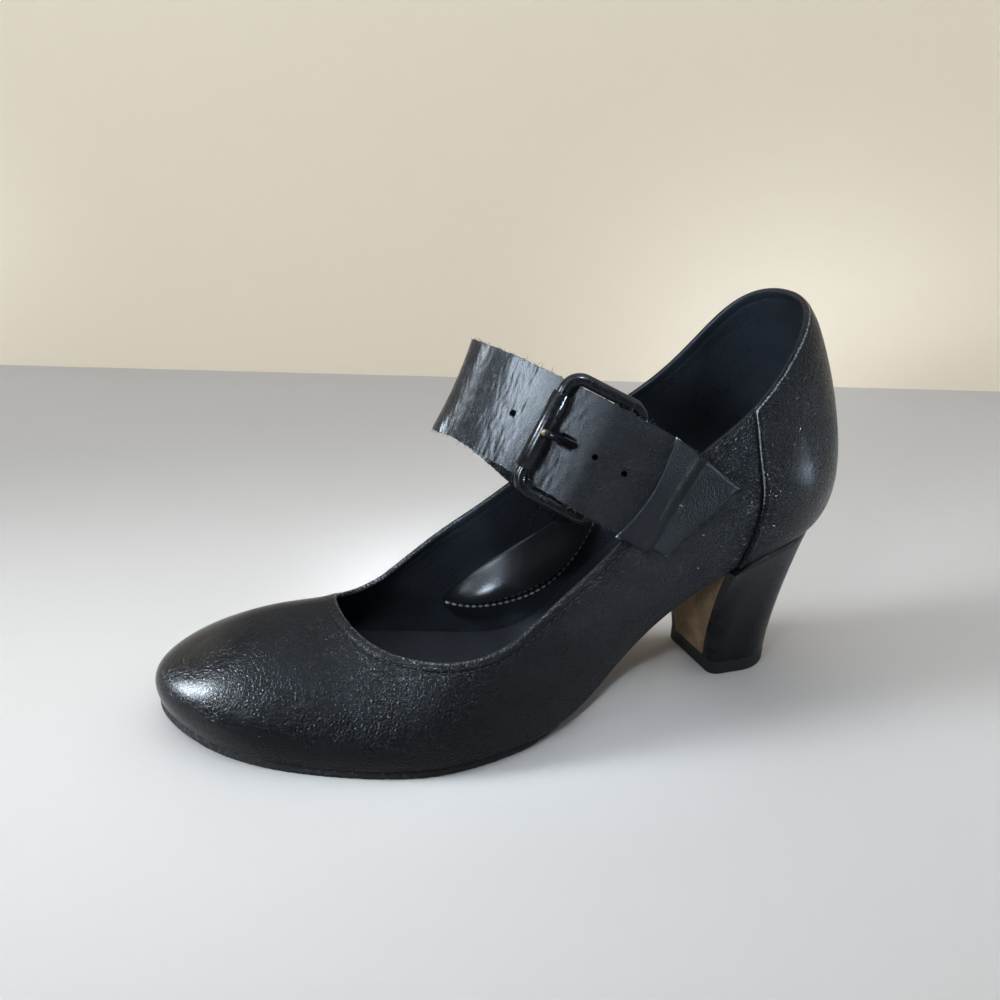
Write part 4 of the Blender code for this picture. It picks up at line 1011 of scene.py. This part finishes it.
halves = {side: lift_half(side) for side in (1, -1)}
half_count = len(halves[1])
seat_halves = seat_outline(SEAT_EDGE)
power = np.linspace(*HEEL_SWEEP, half_count)
rings = []
for height in np.linspace(0, 1, HEEL_LEVELS + 1):
    ends = {}
    for side in (1, -1):
        low, high = halves[side], seat_halves[side]
        x = low[:, 0] + (high[:, 0] - low[:, 0]) * height**power
        y = low[:, 1] + (high[:, 1] - low[:, 1]) * height**HEEL_SIDES
        z = LIFT_HEIGHT + (bed(high[:, 0], -GAP) - LIFT_HEIGHT) * height
        ends[side] = np.stack([x, y, z], 1)
    rings.append(whole_ring(ends))
fade = np.clip((half_count - 1 - np.arange(half_count)) / LIP_FADE, 0, 1)
for edge, lip_height in SEAT_LIP:
    ends = {}
    for side, line in seat_outline(edge).items():
        ends[side] = np.column_stack([line, bed(line[:, 0], -GAP) + lip_height * fade])
    rings.append(whole_ring(ends))
heel_points = np.array(rings)
numbers = numbered(heel_points)
side_faces = quads(numbers, wrap_columns=True)
columns = np.tile(np.arange(numbers.shape[1]), len(rings) - 1)
on_breast = (columns >= half_count) & (columns < half_count + HEEL_BREAST - 2)
cap_faces = cap(numbers[0].tolist()) + cap(numbers[-1].tolist())

heel_skin = leather("heel_skin", HEEL_BLACK, 0.30, 1500.0, 0.00003, 0.2, share=0.03)
fibreboard, tree, shader = new_finish("fibreboard", FIBRE_BROWN, 0.78)
vector = object_place(tree)
stretched = add_node(tree, "ShaderNodeMapping", {"Vector": vector, "Scale": (1.0, 1.0, 0.35)}).outputs[0]
fibres = noise_value(tree, stretched, 1400.0, 4.0)
stain = noise_value(tree, vector, 120.0, 3.0)
tone = blend(tree, ramp(tree, fibres, 0.3, 0.7), toned(FIBRE_BROWN, 0.7), FIBRE_BROWN)
tone = blend(tree, ramp(tree, stain, 0.45, 0.75), tone, toned(FIBRE_BROWN, 1.3))
fill(tree, shader.inputs, {"Base Color": tone, "Roughness": ramp(tree, fibres, 0.3, 0.7, 0.7, 0.88),
                           "Normal": raised(tree, fibres, 0.0001, 0.6)})
heel_worn = 0.20 * bell(heel_points[..., 2] - LIFT_HEIGHT, 1.2)
heel = add_piece("heel_block", heel_points, side_faces + cap_faces, [heel_skin, fibreboard],
                 {"grain": np.ones(heel_points.shape[:2]), "worn": heel_worn}, 35,
                 np.concatenate([on_breast.astype(int), np.zeros(len(cap_faces))]))
settle(heel, "heel_cover", "heel")

# Top lift. A hard rubber tread pinned under the heel, with softly rounded rims, scuffed where it
# meets the ground.
LIFT_TOP = LIFT_HEIGHT - GAP
# inset of its outline and height, from the ground up
LIFT_LEVELS = ((0.5, 0.0), (0.15, 0.12), (0.0, 0.5), (0.0, 2.0), (0.0, LIFT_TOP - 0.25), (0.2, LIFT_TOP))
lift_rubber = rubber("lift_rubber", RUBBER_BLACK, 0.58, 1200.0, 0.00015, 0.02)
outline = np.concatenate([halves[1], halves[-1][:0:-1]])
outline_out = np.roll(outline, -1, 0) - np.roll(outline, 1, 0)
outline_out = unit(np.stack([-outline_out[:, 1], outline_out[:, 0]], 1))
lift_points = np.array([np.column_stack([outline - outline_out * inset, np.full(len(outline), height)])
                        for inset, height in LIFT_LEVELS])
numbers = numbered(lift_points)
faces = quads(numbers, wrap_columns=True) + cap(numbers[0].tolist()) + cap(numbers[-1].tolist())
lift_worn = np.where(lift_points[..., 2] < 1, 0.35, 0.05)
lift = add_piece("lift_tread", lift_points, faces, [lift_rubber], {"worn": lift_worn}, 35)
settle(lift, "black_rubber", "top_lift")

# Strap. One wide raw-edged band of the same leather, sewn inside the inner quarter, folded over
# the instep and pulled through the buckle into the keeper. It is crinkled from wear, with punched holes.
STRAP_THICKNESS = 1.6
STRAP_ROWS, STRAP_ACROSS = 420, 30
STRAP_START = 0.55                    # its end in the keeper, as a place on the strap's table
STRAP_RAGGED = 0.16                   # unevenness of its cut edges
STRAP_WORN = 0.35
HOLE_ROWS = (1.78, 2.49, 3.9, 4.66)   # round holes
HOLE_RADIUS = 0.95
PRONG_ROW = 3.17
PRONG_SLOT = (3.7, 1.7)
DRILL_REACH, DRILL_SIDES = 3, 24
STRAP_BLACK = (0.007, 0.0076, 0.0095)
Strap = namedtuple("Strap", "x y z width lean")
STRAP = [Strap(*row) for row in (
    (67.5, 30.2, 79.5, 34.0, 34), (76, 29.0, 85, 34.0, 34),
    (85, 21.5, 89.5, 34.0, 34),           # over the hinge bar
    (95, 11.5, 94, 33.8, 33),
    (104.3, 2, 98, 33.5, 31),             # just past the roller
    (113, -6, 101.5, 33.0, 28), (119.5, -13, 104, 32.0, 26),
    (123.6, -20.5, 104.3, 31.5, 25),      # over the top
    (122.6, -26.8, 102, 31.5, 25), (116, -29, 97.5, 31.0, 27), (106.5, -21.5, 91, 31.0, 30),
    (96.5, -15.9, 82.3, 31.5, 33), (87, -14.6, 73.5, 32.0, 34),
    (78, -14.6, 65, 32.0, 34),            # sewn inside the quarter
)]
# crinkles: how far they lie apart along the strap and run across it, their swell and their depth
Crinkle = namedtuple("Crinkle", "apart across swell depth seed")
CRINKLES = [Crinkle(*row) for row in ((8.0, 18.0, 0.05, 0.03, 3.1), (3.2, 8.0, 0.03, 0.05, 8.7),
                                      (1.8, 4.0, 0.03, 0.06, 5.3))]
# along the strap's table: how freely it crinkles, its polish and its dullness
CRINKLED = ((0, 1.2, 1.8, 2.4, 3.4, 3.8, 4.2, 4.6, 9, 13), (0, 0.1, 0.6, 0.6, 0.8, 0.3, 0.3, 1, 1, 0.6))
POLISHED = ((2.5, 3.2, 3.9, 4.5), (0.0, 0.25, 0.3, 0.5))
DULLED = ((2.4, 3.2, 4.0), (1.0, 0.5, 0.0))


def strap_frame(row):
    """Place on the strap's middle, and unit vectors along it, across it and out of it."""
    table = np.array(STRAP)[:, :3]
    knots = np.arange(len(STRAP))
    row = np.asarray(row, float)
    place = spline(knots, table, row)
    ahead = unit(spline(knots, table, row + 0.01) - spline(knots, table, row - 0.01))
    lean = np.radians(spline(knots, [entry.lean for entry in STRAP], row))
    aside = np.stack([-np.sin(lean), 0 * lean, np.cos(lean)], -1)
    aside = unit(aside - (ahead * aside).sum(-1, keepdims=True) * ahead)
    return place, ahead, aside, np.cross(aside, ahead)


def tube(path, radii, sides, first_side, closed=False):
    """Points and faces of a round bar along a path; a radius may be a pair, the second one square
    to first_side."""
    path = np.array(path, float)
    ahead = unit(np.roll(path, -1, 0) - np.roll(path, 1, 0)) if closed else unit(np.gradient(path, axis=0))
    angles = np.arange(sides) * 2 * np.pi / sides
    rings = []
    for place, direction, radius in zip(path, ahead, radii):
        wide, high = radius if np.ndim(radius) else (radius, radius)
        side = unit(np.array(first_side) - (direction @ first_side) * direction)
        up = np.cross(direction, side)
        rings.append(place + wide * np.cos(angles)[:, None] * side + high * np.sin(angles)[:, None] * up)
    numbers = np.arange(len(path) * sides).reshape(len(path), sides)
    faces = quads(numbers, wrap_rows=closed, wrap_columns=True)
    if not closed:
        faces += [tuple(numbers[0]), tuple(numbers[-1])]
    return np.concatenate(rings), faces


def punch(piece, cutters):
    """Take the cutters' bodies out of a piece for good."""
    for cutter in cutters:
        modifier = piece.modifiers.new("punch", "BOOLEAN")
        modifier.operation = "DIFFERENCE"
        modifier.object = cutter
    evaluated = piece.evaluated_get(bpy.context.evaluated_depsgraph_get())
    punched = bpy.data.meshes.new_from_object(evaluated)
    piece.modifiers.clear()
    piece.data = punched
    for cutter in cutters:
        bpy.data.objects.remove(cutter)


strap_leather = leather("strap_leather", STRAP_BLACK, 0.22, 1000.0, 0.00026, 0.5)
at = np.linspace(STRAP_START, len(STRAP) - 1, STRAP_ROWS + 1)
place, ahead, aside, out = strap_frame(at)
run = np.concatenate([[0], np.cumsum(np.linalg.norm(np.diff(place, axis=0), axis=1))])
half = spline(np.arange(len(STRAP)), [row.width / 2 for row in STRAP], at)
share = np.linspace(-1, 1, STRAP_ACROSS + 1)
crinkle = np.zeros((len(at), len(share)))
for wrinkle in CRINKLES:
    for i, along_by in enumerate(run / wrinkle.apart):
        spots = [Vector((along_by, half[i] * part / wrinkle.across, wrinkle.seed)) for part in share]
        rough = np.array([noise.fractal(spot, 1.0, 2.0, 2) for spot in spots])
        crinkle[i] += wrinkle.swell * rough - wrinkle.depth * np.clip(1 - 2.5 * abs(rough), 0, 1)**2
crinkle *= np.interp(at, *CRINKLED)[:, None]
ragged = np.random.default_rng(11).normal(0, STRAP_RAGGED, (len(at), 2))
ragged = (ragged + np.roll(ragged, 1, 0)) / 2
widths = half[:, None] * share
widths[:, 0] += ragged[:, 0]
widths[:, -1] += ragged[:, 1]
middle = place[:, None] + aside[:, None] * widths[..., None] + out[:, None] * crinkle[..., None]
face_side = middle + out[:, None] * STRAP_THICKNESS / 2
back_side = middle - out[:, None] * STRAP_THICKNESS / 2
strap_ring = np.concatenate([face_side, back_side[:, ::-1]], 1)
numbers = numbered(strap_ring)
faces = quads(numbers, wrap_columns=True) + [tuple(numbers[0]), tuple(numbers[-1])]
strap_edge = STRAP_WORN * bell((1 - abs(share)) * 16, 0.7)
ring_size = strap_ring.shape[1]
strap_marks = {"grain": np.ones(strap_ring.shape[:2]),
               "worn": np.tile(np.concatenate([strap_edge, strap_edge[::-1]]), (len(at), 1)),
               "gloss": np.repeat(np.interp(at, *POLISHED), ring_size),
               "dull": np.repeat(np.interp(at, *DULLED), ring_size)}
strap = add_piece("strap_band", strap_ring, faces, [strap_leather], strap_marks, 50)
drills = []
for row, radii in [(row, HOLE_RADIUS) for row in HOLE_ROWS] + [(PRONG_ROW, PRONG_SLOT)]:
    spot, forth, _, up = strap_frame(row)
    ends = [spot - DRILL_REACH * up, spot + DRILL_REACH * up]
    points, faces = tube(ends, [radii] * 2, DRILL_SIDES, forth)
    drills.append(add_piece("strap_drill", points, faces, [strap_leather]))
punch(strap, drills)
settle(strap, "black_leather", "strap")

# Strap frays. Short loose fibres that stand out of the raw edges where the leather was cut, in two
# rows along each edge: one at the corner of the face and one in the middle of the cut.
FIBRE_GREY = (0.10, 0.10, 0.11)
FRAY_SIZES = {"Spacing": 0.0013, "Longest": 0.0022, "Thickness": 0.00009, "Kept": 0.45, "Spread": 0.8}
FRAYED = (1.2, 9.5)                   # stretch of the strap's table
FRAY_TILT = 0.4                       # of the corner row, out of the face
fray, given, spaced = growing_tree("fray", (("Spacing", 0.001), ("Longest", 0.0016), ("Thickness", 0.00009),
                                            ("Kept", 0.5), ("Spread", 0.8)))
hair = add_node(fray, "GeometryNodeMeshCone", {"Vertices": 3, "Side Segments": 2, "Radius Top": 0.15,
                "Radius Bottom": 1.0, "Depth": 1.0})
kept = add_node(fray, "FunctionNodeRandomValue", data_type="BOOLEAN")
fill(fray, kept.inputs, {"Probability": given["Kept"], "Seed": 5})
toward = add_node(fray, "GeometryNodeInputNamedAttribute", {"Name": "away"}, data_type="FLOAT_VECTOR")
stray = add_node(fray, "FunctionNodeRandomValue", data_type="FLOAT_VECTOR")
fill(fray, stray.inputs, {"Min": (-1, -1, -1), "Max": (1, 1, 1), "Seed": 8})
strayed = vectors(fray, "SCALE", {0: stray.outputs[0], "Scale": given["Spread"]})
toward = vectors(fray, "ADD", {0: toward.outputs[0], 1: strayed})
turned = add_node(fray, "FunctionNodeAlignRotationToVector", {"Vector": toward}, axis="Z")
length = add_node(fray, "FunctionNodeRandomValue", data_type="FLOAT")
fill(fray, length.inputs, {2: 0.2, "Seed": 3})
stretch = add_node(fray, "ShaderNodeCombineXYZ", {"X": given["Thickness"], "Y": given["Thickness"],
                   "Z": times(fray, length.outputs[1], given["Longest"])})
sprouted = add_node(fray, "GeometryNodeInstanceOnPoints", {"Points": spaced, "Selection": kept.outputs[3],
                    "Instance": hair.outputs[0], "Rotation": turned.outputs[0], "Scale": stretch.outputs[0]})
end_tree(fray, given, sprouted.outputs[0])

raw_fibre = thread_finish("raw_fibre", FIBRE_GREY)
shown = (at > FRAYED[0]) & (at < FRAYED[1])
fray_lines = []
fray_away = []
for edge, sign in ((0, -1), (-1, 1)):
    fray_lines += [face_side[shown, edge], middle[shown, edge]]
    fray_away += [sign * aside[shown] + FRAY_TILT * out[shown], sign * aside[shown]]
strap_frays = grow("strap_frays", fray_lines, fray, raw_fibre, FRAY_SIZES, fray_away)
settle(strap_frays, "black_leather")

# Buckle. A rectangular frame of black-painted wire with a loose roller on its front bar and a
# prong hooked round its hinge bar. The paint is chipped at the corners, and brass shows at the tip.
HINGE_ROW, ROLLER_ROW = 2.0, 3.7
BUCKLE_WIDTH = 42.6
BUCKLE_CORNER = 5.0
BAR_RADIUS = 2.0
ROLLER_RADIUS = 2.9
ROLLER_LENGTH = 25.6
PRONG_RADIUS = 1.1
PRONG_TIP = 0.9           # length over which the pin's end is rounded
CHAPE_THICKNESS = 1.2
PAINT_BLACK = (0.007, 0.007, 0.008)
PAINT_ROUGHNESS, PAINT_SHINE = 0.22, 0.4
BARE_STEEL = (0.30, 0.30, 0.30)
WORN_BRASS = (0.34, 0.27, 0.16)
CORNER_CHIPS, TIP_CHIPS = 0.34, 0.75
BAR_SIDES, ROLLER_SIDES, PRONG_SIDES = 24, 40, 20
# the prong's middle, along the frame and out of it: from the hinge bar, then from the roller
PRONG_HOOK = range(140, 301, 20)      # degrees round the hinge bar
PRONG_START = [(5, -3.2), (10, -3.3)]
PRONG_END = [(-11.5, -3.4), (-8.6, -2.6), (-6.2, -0.8), (-3.7, 2.4), (-1.6, 4.1), (0.8, 4.45)]
# half of the roller's rim: in from its end, in from its radius, and how worn it is
ROLLER_RIM = ((0.0, 0.6, 0.2), (0.0, 0.35, 0.25), (0.1, 0.12, 0.22), (0.35, 0.0, 0.08))


def paint(name, bare):
    """Black enamel on metal: slight orange peel, dull chips down to the metal where marked worn."""
    made, tree, shader = new_finish(name, PAINT_BLACK, PAINT_ROUGHNESS, 0.08, PAINT_SHINE)
    vector = object_place(tree)
    worn = place_group(tree, edge_wear_and_sheen, vector, worn=mark_value(tree, "worn"), size=1500.0)
    peel = noise_value(tree, vector, 700.0, 2.0)
    tone = blend(tree, ramp(tree, peel, 0.3, 0.7), PAINT_BLACK, toned(PAINT_BLACK, 1.8))
    rough = ramp(tree, peel, 0.3, 0.7, PAINT_ROUGHNESS - 0.05, PAINT_ROUGHNESS + 0.05)
    fill(tree, shader.inputs, {"Base Color": blend(tree, worn, tone, bare), "Metallic": worn,
                               "Roughness": sums(tree, "ADD", rough, times(tree, worn, 0.2)),
                               "Normal": raised(tree, peel, 0.00004, 0.6)})
    return made


hinge, _, hinge_aside, hinge_out = strap_frame(HINGE_ROW)
hinge = hinge - hinge_out * (STRAP_THICKNESS / 2 + 2 * GAP + CHAPE_THICKNESS + BAR_RADIUS)
roller, _, _, roller_out = strap_frame(ROLLER_ROW)
roller = roller + roller_out * (STRAP_THICKNESS / 2 + 2 * GAP + ROLLER_RADIUS)
buckle_along = unit(roller - hinge)
buckle_across = unit(hinge_aside - (hinge_aside @ buckle_along) * buckle_along)
buckle_out = np.cross(buckle_across, buckle_along)
reach = np.linalg.norm(roller - hinge)
half_width = BUCKLE_WIDTH / 2 - BAR_RADIUS


def corner_place(number, step):
    """A place on the arc of one of the frame's four corners, for a step from 0 to 1."""
    sign_along, sign_across = ((1, 1), (1, -1), (-1, -1), (-1, 1))[number]
    centre = hinge + buckle_along * (reach / 2 + sign_along * (reach / 2 - BUCKLE_CORNER))
    centre = centre + buckle_across * sign_across * (half_width - BUCKLE_CORNER)
    angle = np.pi / 2 * (1 - number - step)
    return centre + BUCKLE_CORNER * (buckle_along * np.cos(angle) + buckle_across * np.sin(angle))


frame_path = []
frame_worn = []
for number in range(4):
    for step in np.linspace(0, 1, 13):
        frame_path.append(corner_place(number, step))
        frame_worn.append(CORNER_CHIPS * np.sin(np.pi * step))
    last = frame_path[-1]
    following = corner_place((number + 1) % 4, 0)
    for step in np.linspace(0, 1, 14)[1:-1]:
        frame_path.append(last + (following - last) * step)
        frame_worn.append(0.0)
buckle_paint = paint("buckle_paint", BARE_STEEL)
points, faces = tube(frame_path, [BAR_RADIUS] * len(frame_path), BAR_SIDES, buckle_out, True)
facing = np.clip(np.cos(np.arange(BAR_SIDES) * 2 * np.pi / BAR_SIDES), 0, 1)
frame_bar = add_piece("frame_bar", points, faces, [buckle_paint], {"worn": np.outer(frame_worn, facing)})
settle(frame_bar, "black_metal", "buckle_frame")

rim = [(ROLLER_LENGTH / 2 - end, ROLLER_RADIUS - under, worn) for end, under, worn in ROLLER_RIM]
rim = [(-end, radius, worn) for end, radius, worn in rim] + rim[::-1]
angles = np.arange(ROLLER_SIDES) * 2 * np.pi / ROLLER_SIDES
circle = np.cos(angles)[:, None] * buckle_along + np.sin(angles)[:, None] * buckle_out
points = np.array([roller + buckle_across * end + circle * radius for end, radius, _ in rim])
roller_worn = np.repeat([worn for _, _, worn in rim], ROLLER_SIDES)
roller_tube = add_piece("roller_tube", points, quads(numbered(points), wrap_rows=True, wrap_columns=True),
                        [buckle_paint], {"worn": roller_worn}, 50)
settle(roller_tube, "black_metal", "buckle_roller")

turn = BAR_RADIUS + GAP + PRONG_RADIUS
prong_path = [(turn * np.cos(angle), turn * np.sin(angle)) for angle in np.radians(PRONG_HOOK)]
prong_path += PRONG_START + [(reach + along_by, out_by) for along_by, out_by in PRONG_END]
smooth = spline(np.arange(len(prong_path)), prong_path, np.linspace(0, len(prong_path) - 1, 110))
prong_line = hinge + smooth[:, :1] * buckle_along + smooth[:, 1:] * buckle_out
from_tip = np.linalg.norm(prong_line - prong_line[-1], axis=1)
prong_radii = PRONG_RADIUS * np.sqrt(1 - 0.9 * np.clip(1 - from_tip / PRONG_TIP, 0, 1)**2)
points, faces = tube(prong_line, prong_radii, PRONG_SIDES, np.cross(buckle_along, buckle_out))
prong_worn = np.repeat(TIP_CHIPS * bell(from_tip, 2.0) + 0.05, PRONG_SIDES)
prong_pin = add_piece("prong_pin", points, faces, [paint("prong_paint", WORN_BRASS)], {"worn": prong_worn})
settle(prong_pin, "black_metal", "buckle_prong")

# Chape. A short leather loop that ties the buckle to the keeper: it goes round the hinge bar, and
# its two ends lie under the strap, with a slot that lets the prong out.
CHAPE_WIDTH = 25.0
CHAPE_ENDS = (1.0, 1.6)               # stretch of the strap's table that its ends lie under
CHAPE_SPREAD = 4.4                    # how fast the lower end leaves the upper one
CHAPE_ROUND = 112                     # degrees round the bar, either way
CHAPE_SLOT = 6.0                      # width of the slot, and its ends along the frame and out of it
CHAPE_SLOT_ENDS = ((-5.4, -6), (6, -6), (6, 3.8), (-5.4, 3.8))
chape_inner = BAR_RADIUS + GAP
chape_in, chape_out, chape_aside = [], [], []
under_strap = STRAP_THICKNESS / 2 + GAP
for row in np.linspace(*CHAPE_ENDS, 9):
    spot, _, spot_aside, spot_out = strap_frame(row)
    chape_out.append(spot - spot_out * under_strap)
    chape_in.append(spot - spot_out * (under_strap + CHAPE_THICKNESS))
    chape_aside.append(spot_aside)
for angle in np.radians(np.linspace(CHAPE_ROUND, -CHAPE_ROUND, 31)):
    ray = buckle_along * np.cos(angle) + buckle_out * np.sin(angle)
    chape_out.append(hinge + ray * (chape_inner + CHAPE_THICKNESS))
    chape_in.append(hinge + ray * chape_inner)
    chape_aside.append(buckle_across)
for row in np.linspace(*CHAPE_ENDS[::-1], 9):
    spot, _, spot_aside, spot_out = strap_frame(row)
    deep = under_strap + GAP + CHAPE_THICKNESS + CHAPE_SPREAD * (row - CHAPE_ENDS[0])
    chape_in.append(spot - spot_out * deep)
    chape_out.append(spot - spot_out * (deep + CHAPE_THICKNESS))
    chape_aside.append(spot_aside)
spread = np.linspace(-1, 1, 13)[None, :, None] * CHAPE_WIDTH / 2 * np.array(chape_aside)[:, None]
points, faces = plate(np.array(chape_in)[:, None] + spread, np.array(chape_out)[:, None] + spread)
marks = {"grain": np.ones(len(points)), "worn": np.full(len(points), 0.1)}
chape = add_piece("chape_loop", points, faces, [strap_leather], marks, 45)
corners = np.array([hinge + buckle_along * along_by + buckle_out * out_by
                    for along_by, out_by in CHAPE_SLOT_ENDS])
slot_points = np.array([corners - buckle_across * CHAPE_SLOT / 2, corners + buckle_across * CHAPE_SLOT / 2])
slot_faces = quads(numbered(slot_points), wrap_columns=True) + [(0, 1, 2, 3), (4, 5, 6, 7)]
punch(chape, [add_piece("chape_drill", slot_points, slot_faces, [strap_leather])])
settle(chape, "black_leather", "chape")

# Keeper. A leather patch glued flat on the outer quarter and standing off towards the buckle as
# a mouth that holds the strap's end. Its lip is rolled and rubbed grey, its corners are chipped.
KEEPER_FRONT_LENGTH = 24.0
KEEPER_BACK_LENGTH = 34.0
KEEPER_TAPER = 5.5        # upper side comes in by so much at the back
KEEPER_BOW = 2.5          # mouth is cut back by so much in the middle
KEEPER_BULGE = 2.0        # mouth arches off the strap by so much
KEEPER_STANDS = 7.0       # part of it that stands off
KEEPER_SLOPE = 10.0       # part that comes down to the quarter
KEEPER_THICKNESS = 1.4
KEEPER_WIDER = 1.0        # than the strap
KEEPER_CLEAR = 0.5        # between the patch and the quarter
KEEPER_LIP, KEEPER_FLARE = 0.35, 0.7    # its mouth is rolled out, and its corners more
KEEPER_ROW = 1.2          # place of the mouth on the strap's table
KEEPER_STATION = 3.0      # near its place round the last
SCRATCH_SIDE, SCRATCH_BACK = 0.52, 17   # middle of a slanting scratch: share across, and back from the mouth
KEEPER_ACROSS, KEEPER_LONG = 56, 72
keeper_leather = leather("keeper_leather", STRAP_BLACK, 0.46, 1000.0, 0.00010, 0.5, size=2000)
mouth, mouth_ahead, mouth_aside, mouth_out = strap_frame(KEEPER_ROW)
side = np.linspace(0, 1, KEEPER_ACROSS + 1)[:, None]
lengths = KEEPER_FRONT_LENGTH + (KEEPER_BACK_LENGTH - KEEPER_FRONT_LENGTH) * side
arch = np.sin(np.pi * side)
along_share = np.linspace(0, 1, KEEPER_LONG + 1)
from_lip = (lengths - KEEPER_BOW * arch) * along_share
back = KEEPER_BOW * arch + from_lip
spread = (side - 0.5) * (STRAP[0].width + KEEPER_WIDER) - KEEPER_TAPER * side * along_share
spots = mouth + mouth_aside * spread[..., None] - mouth_ahead * back[..., None]
lift = np.clip((back - KEEPER_STANDS) / KEEPER_SLOPE, 0, 1)
lift = (lift**2 * (3 - 2 * lift))[..., None]
free = spots + mouth_out * (STRAP_THICKNESS / 2 + GAP + KEEPER_BULGE * arch)[..., None]
laid = spots.copy()
laid[..., 1] = skin(*on_skin(spots[..., 0], spots[..., 2], KEEPER_STATION))[..., 1] + KEEPER_CLEAR
facing = unit(mouth_out * (1 - lift) + np.array([0, 1, 0]) * lift)
lip = KEEPER_LIP * bell(from_lip, 1.5)
side_far = np.minimum(side, 1 - side) * STRAP[0].width
patch_far = np.minimum(lengths - back, side_far)
low = free * (1 - lift) + laid * lift
low = low + facing * (lip + KEEPER_FLARE * bell(from_lip, 2.5) * bell(side_far, 3.0))[..., None]
thick = KEEPER_THICKNESS * rounded(np.minimum(from_lip + 0.2, patch_far + 0.25), 0.9) + lip
points, faces = plate(low, low + facing * thick[..., None])
corner_chips = bell(side_far, 2.4) * (bell(lengths - back, 2.4) + 0.8 * bell(from_lip, 2.4))
scratch_far = back - SCRATCH_BACK
scratch = bell((side - SCRATCH_SIDE) * STRAP[0].width - 0.25 * scratch_far, 0.5) * bell(scratch_far, 3.0)
wear_and_sheen_mark = 0.36 * bell(from_lip, 0.5) + 0.33 * bell(patch_far, 0.4)
wear_and_sheen_mark += 0.3 * corner_chips * bell(patch_far * (back > 3), 1.2) + 0.7 * scratch
marks = {"grain": np.full(len(points), 0.8), "worn": np.tile(wear_and_sheen_mark.ravel(), 2)}
keeper = add_piece("keeper_patch", points, faces, [keeper_leather], marks, 55)
settle(keeper, "black_leather", "strap_keeper")
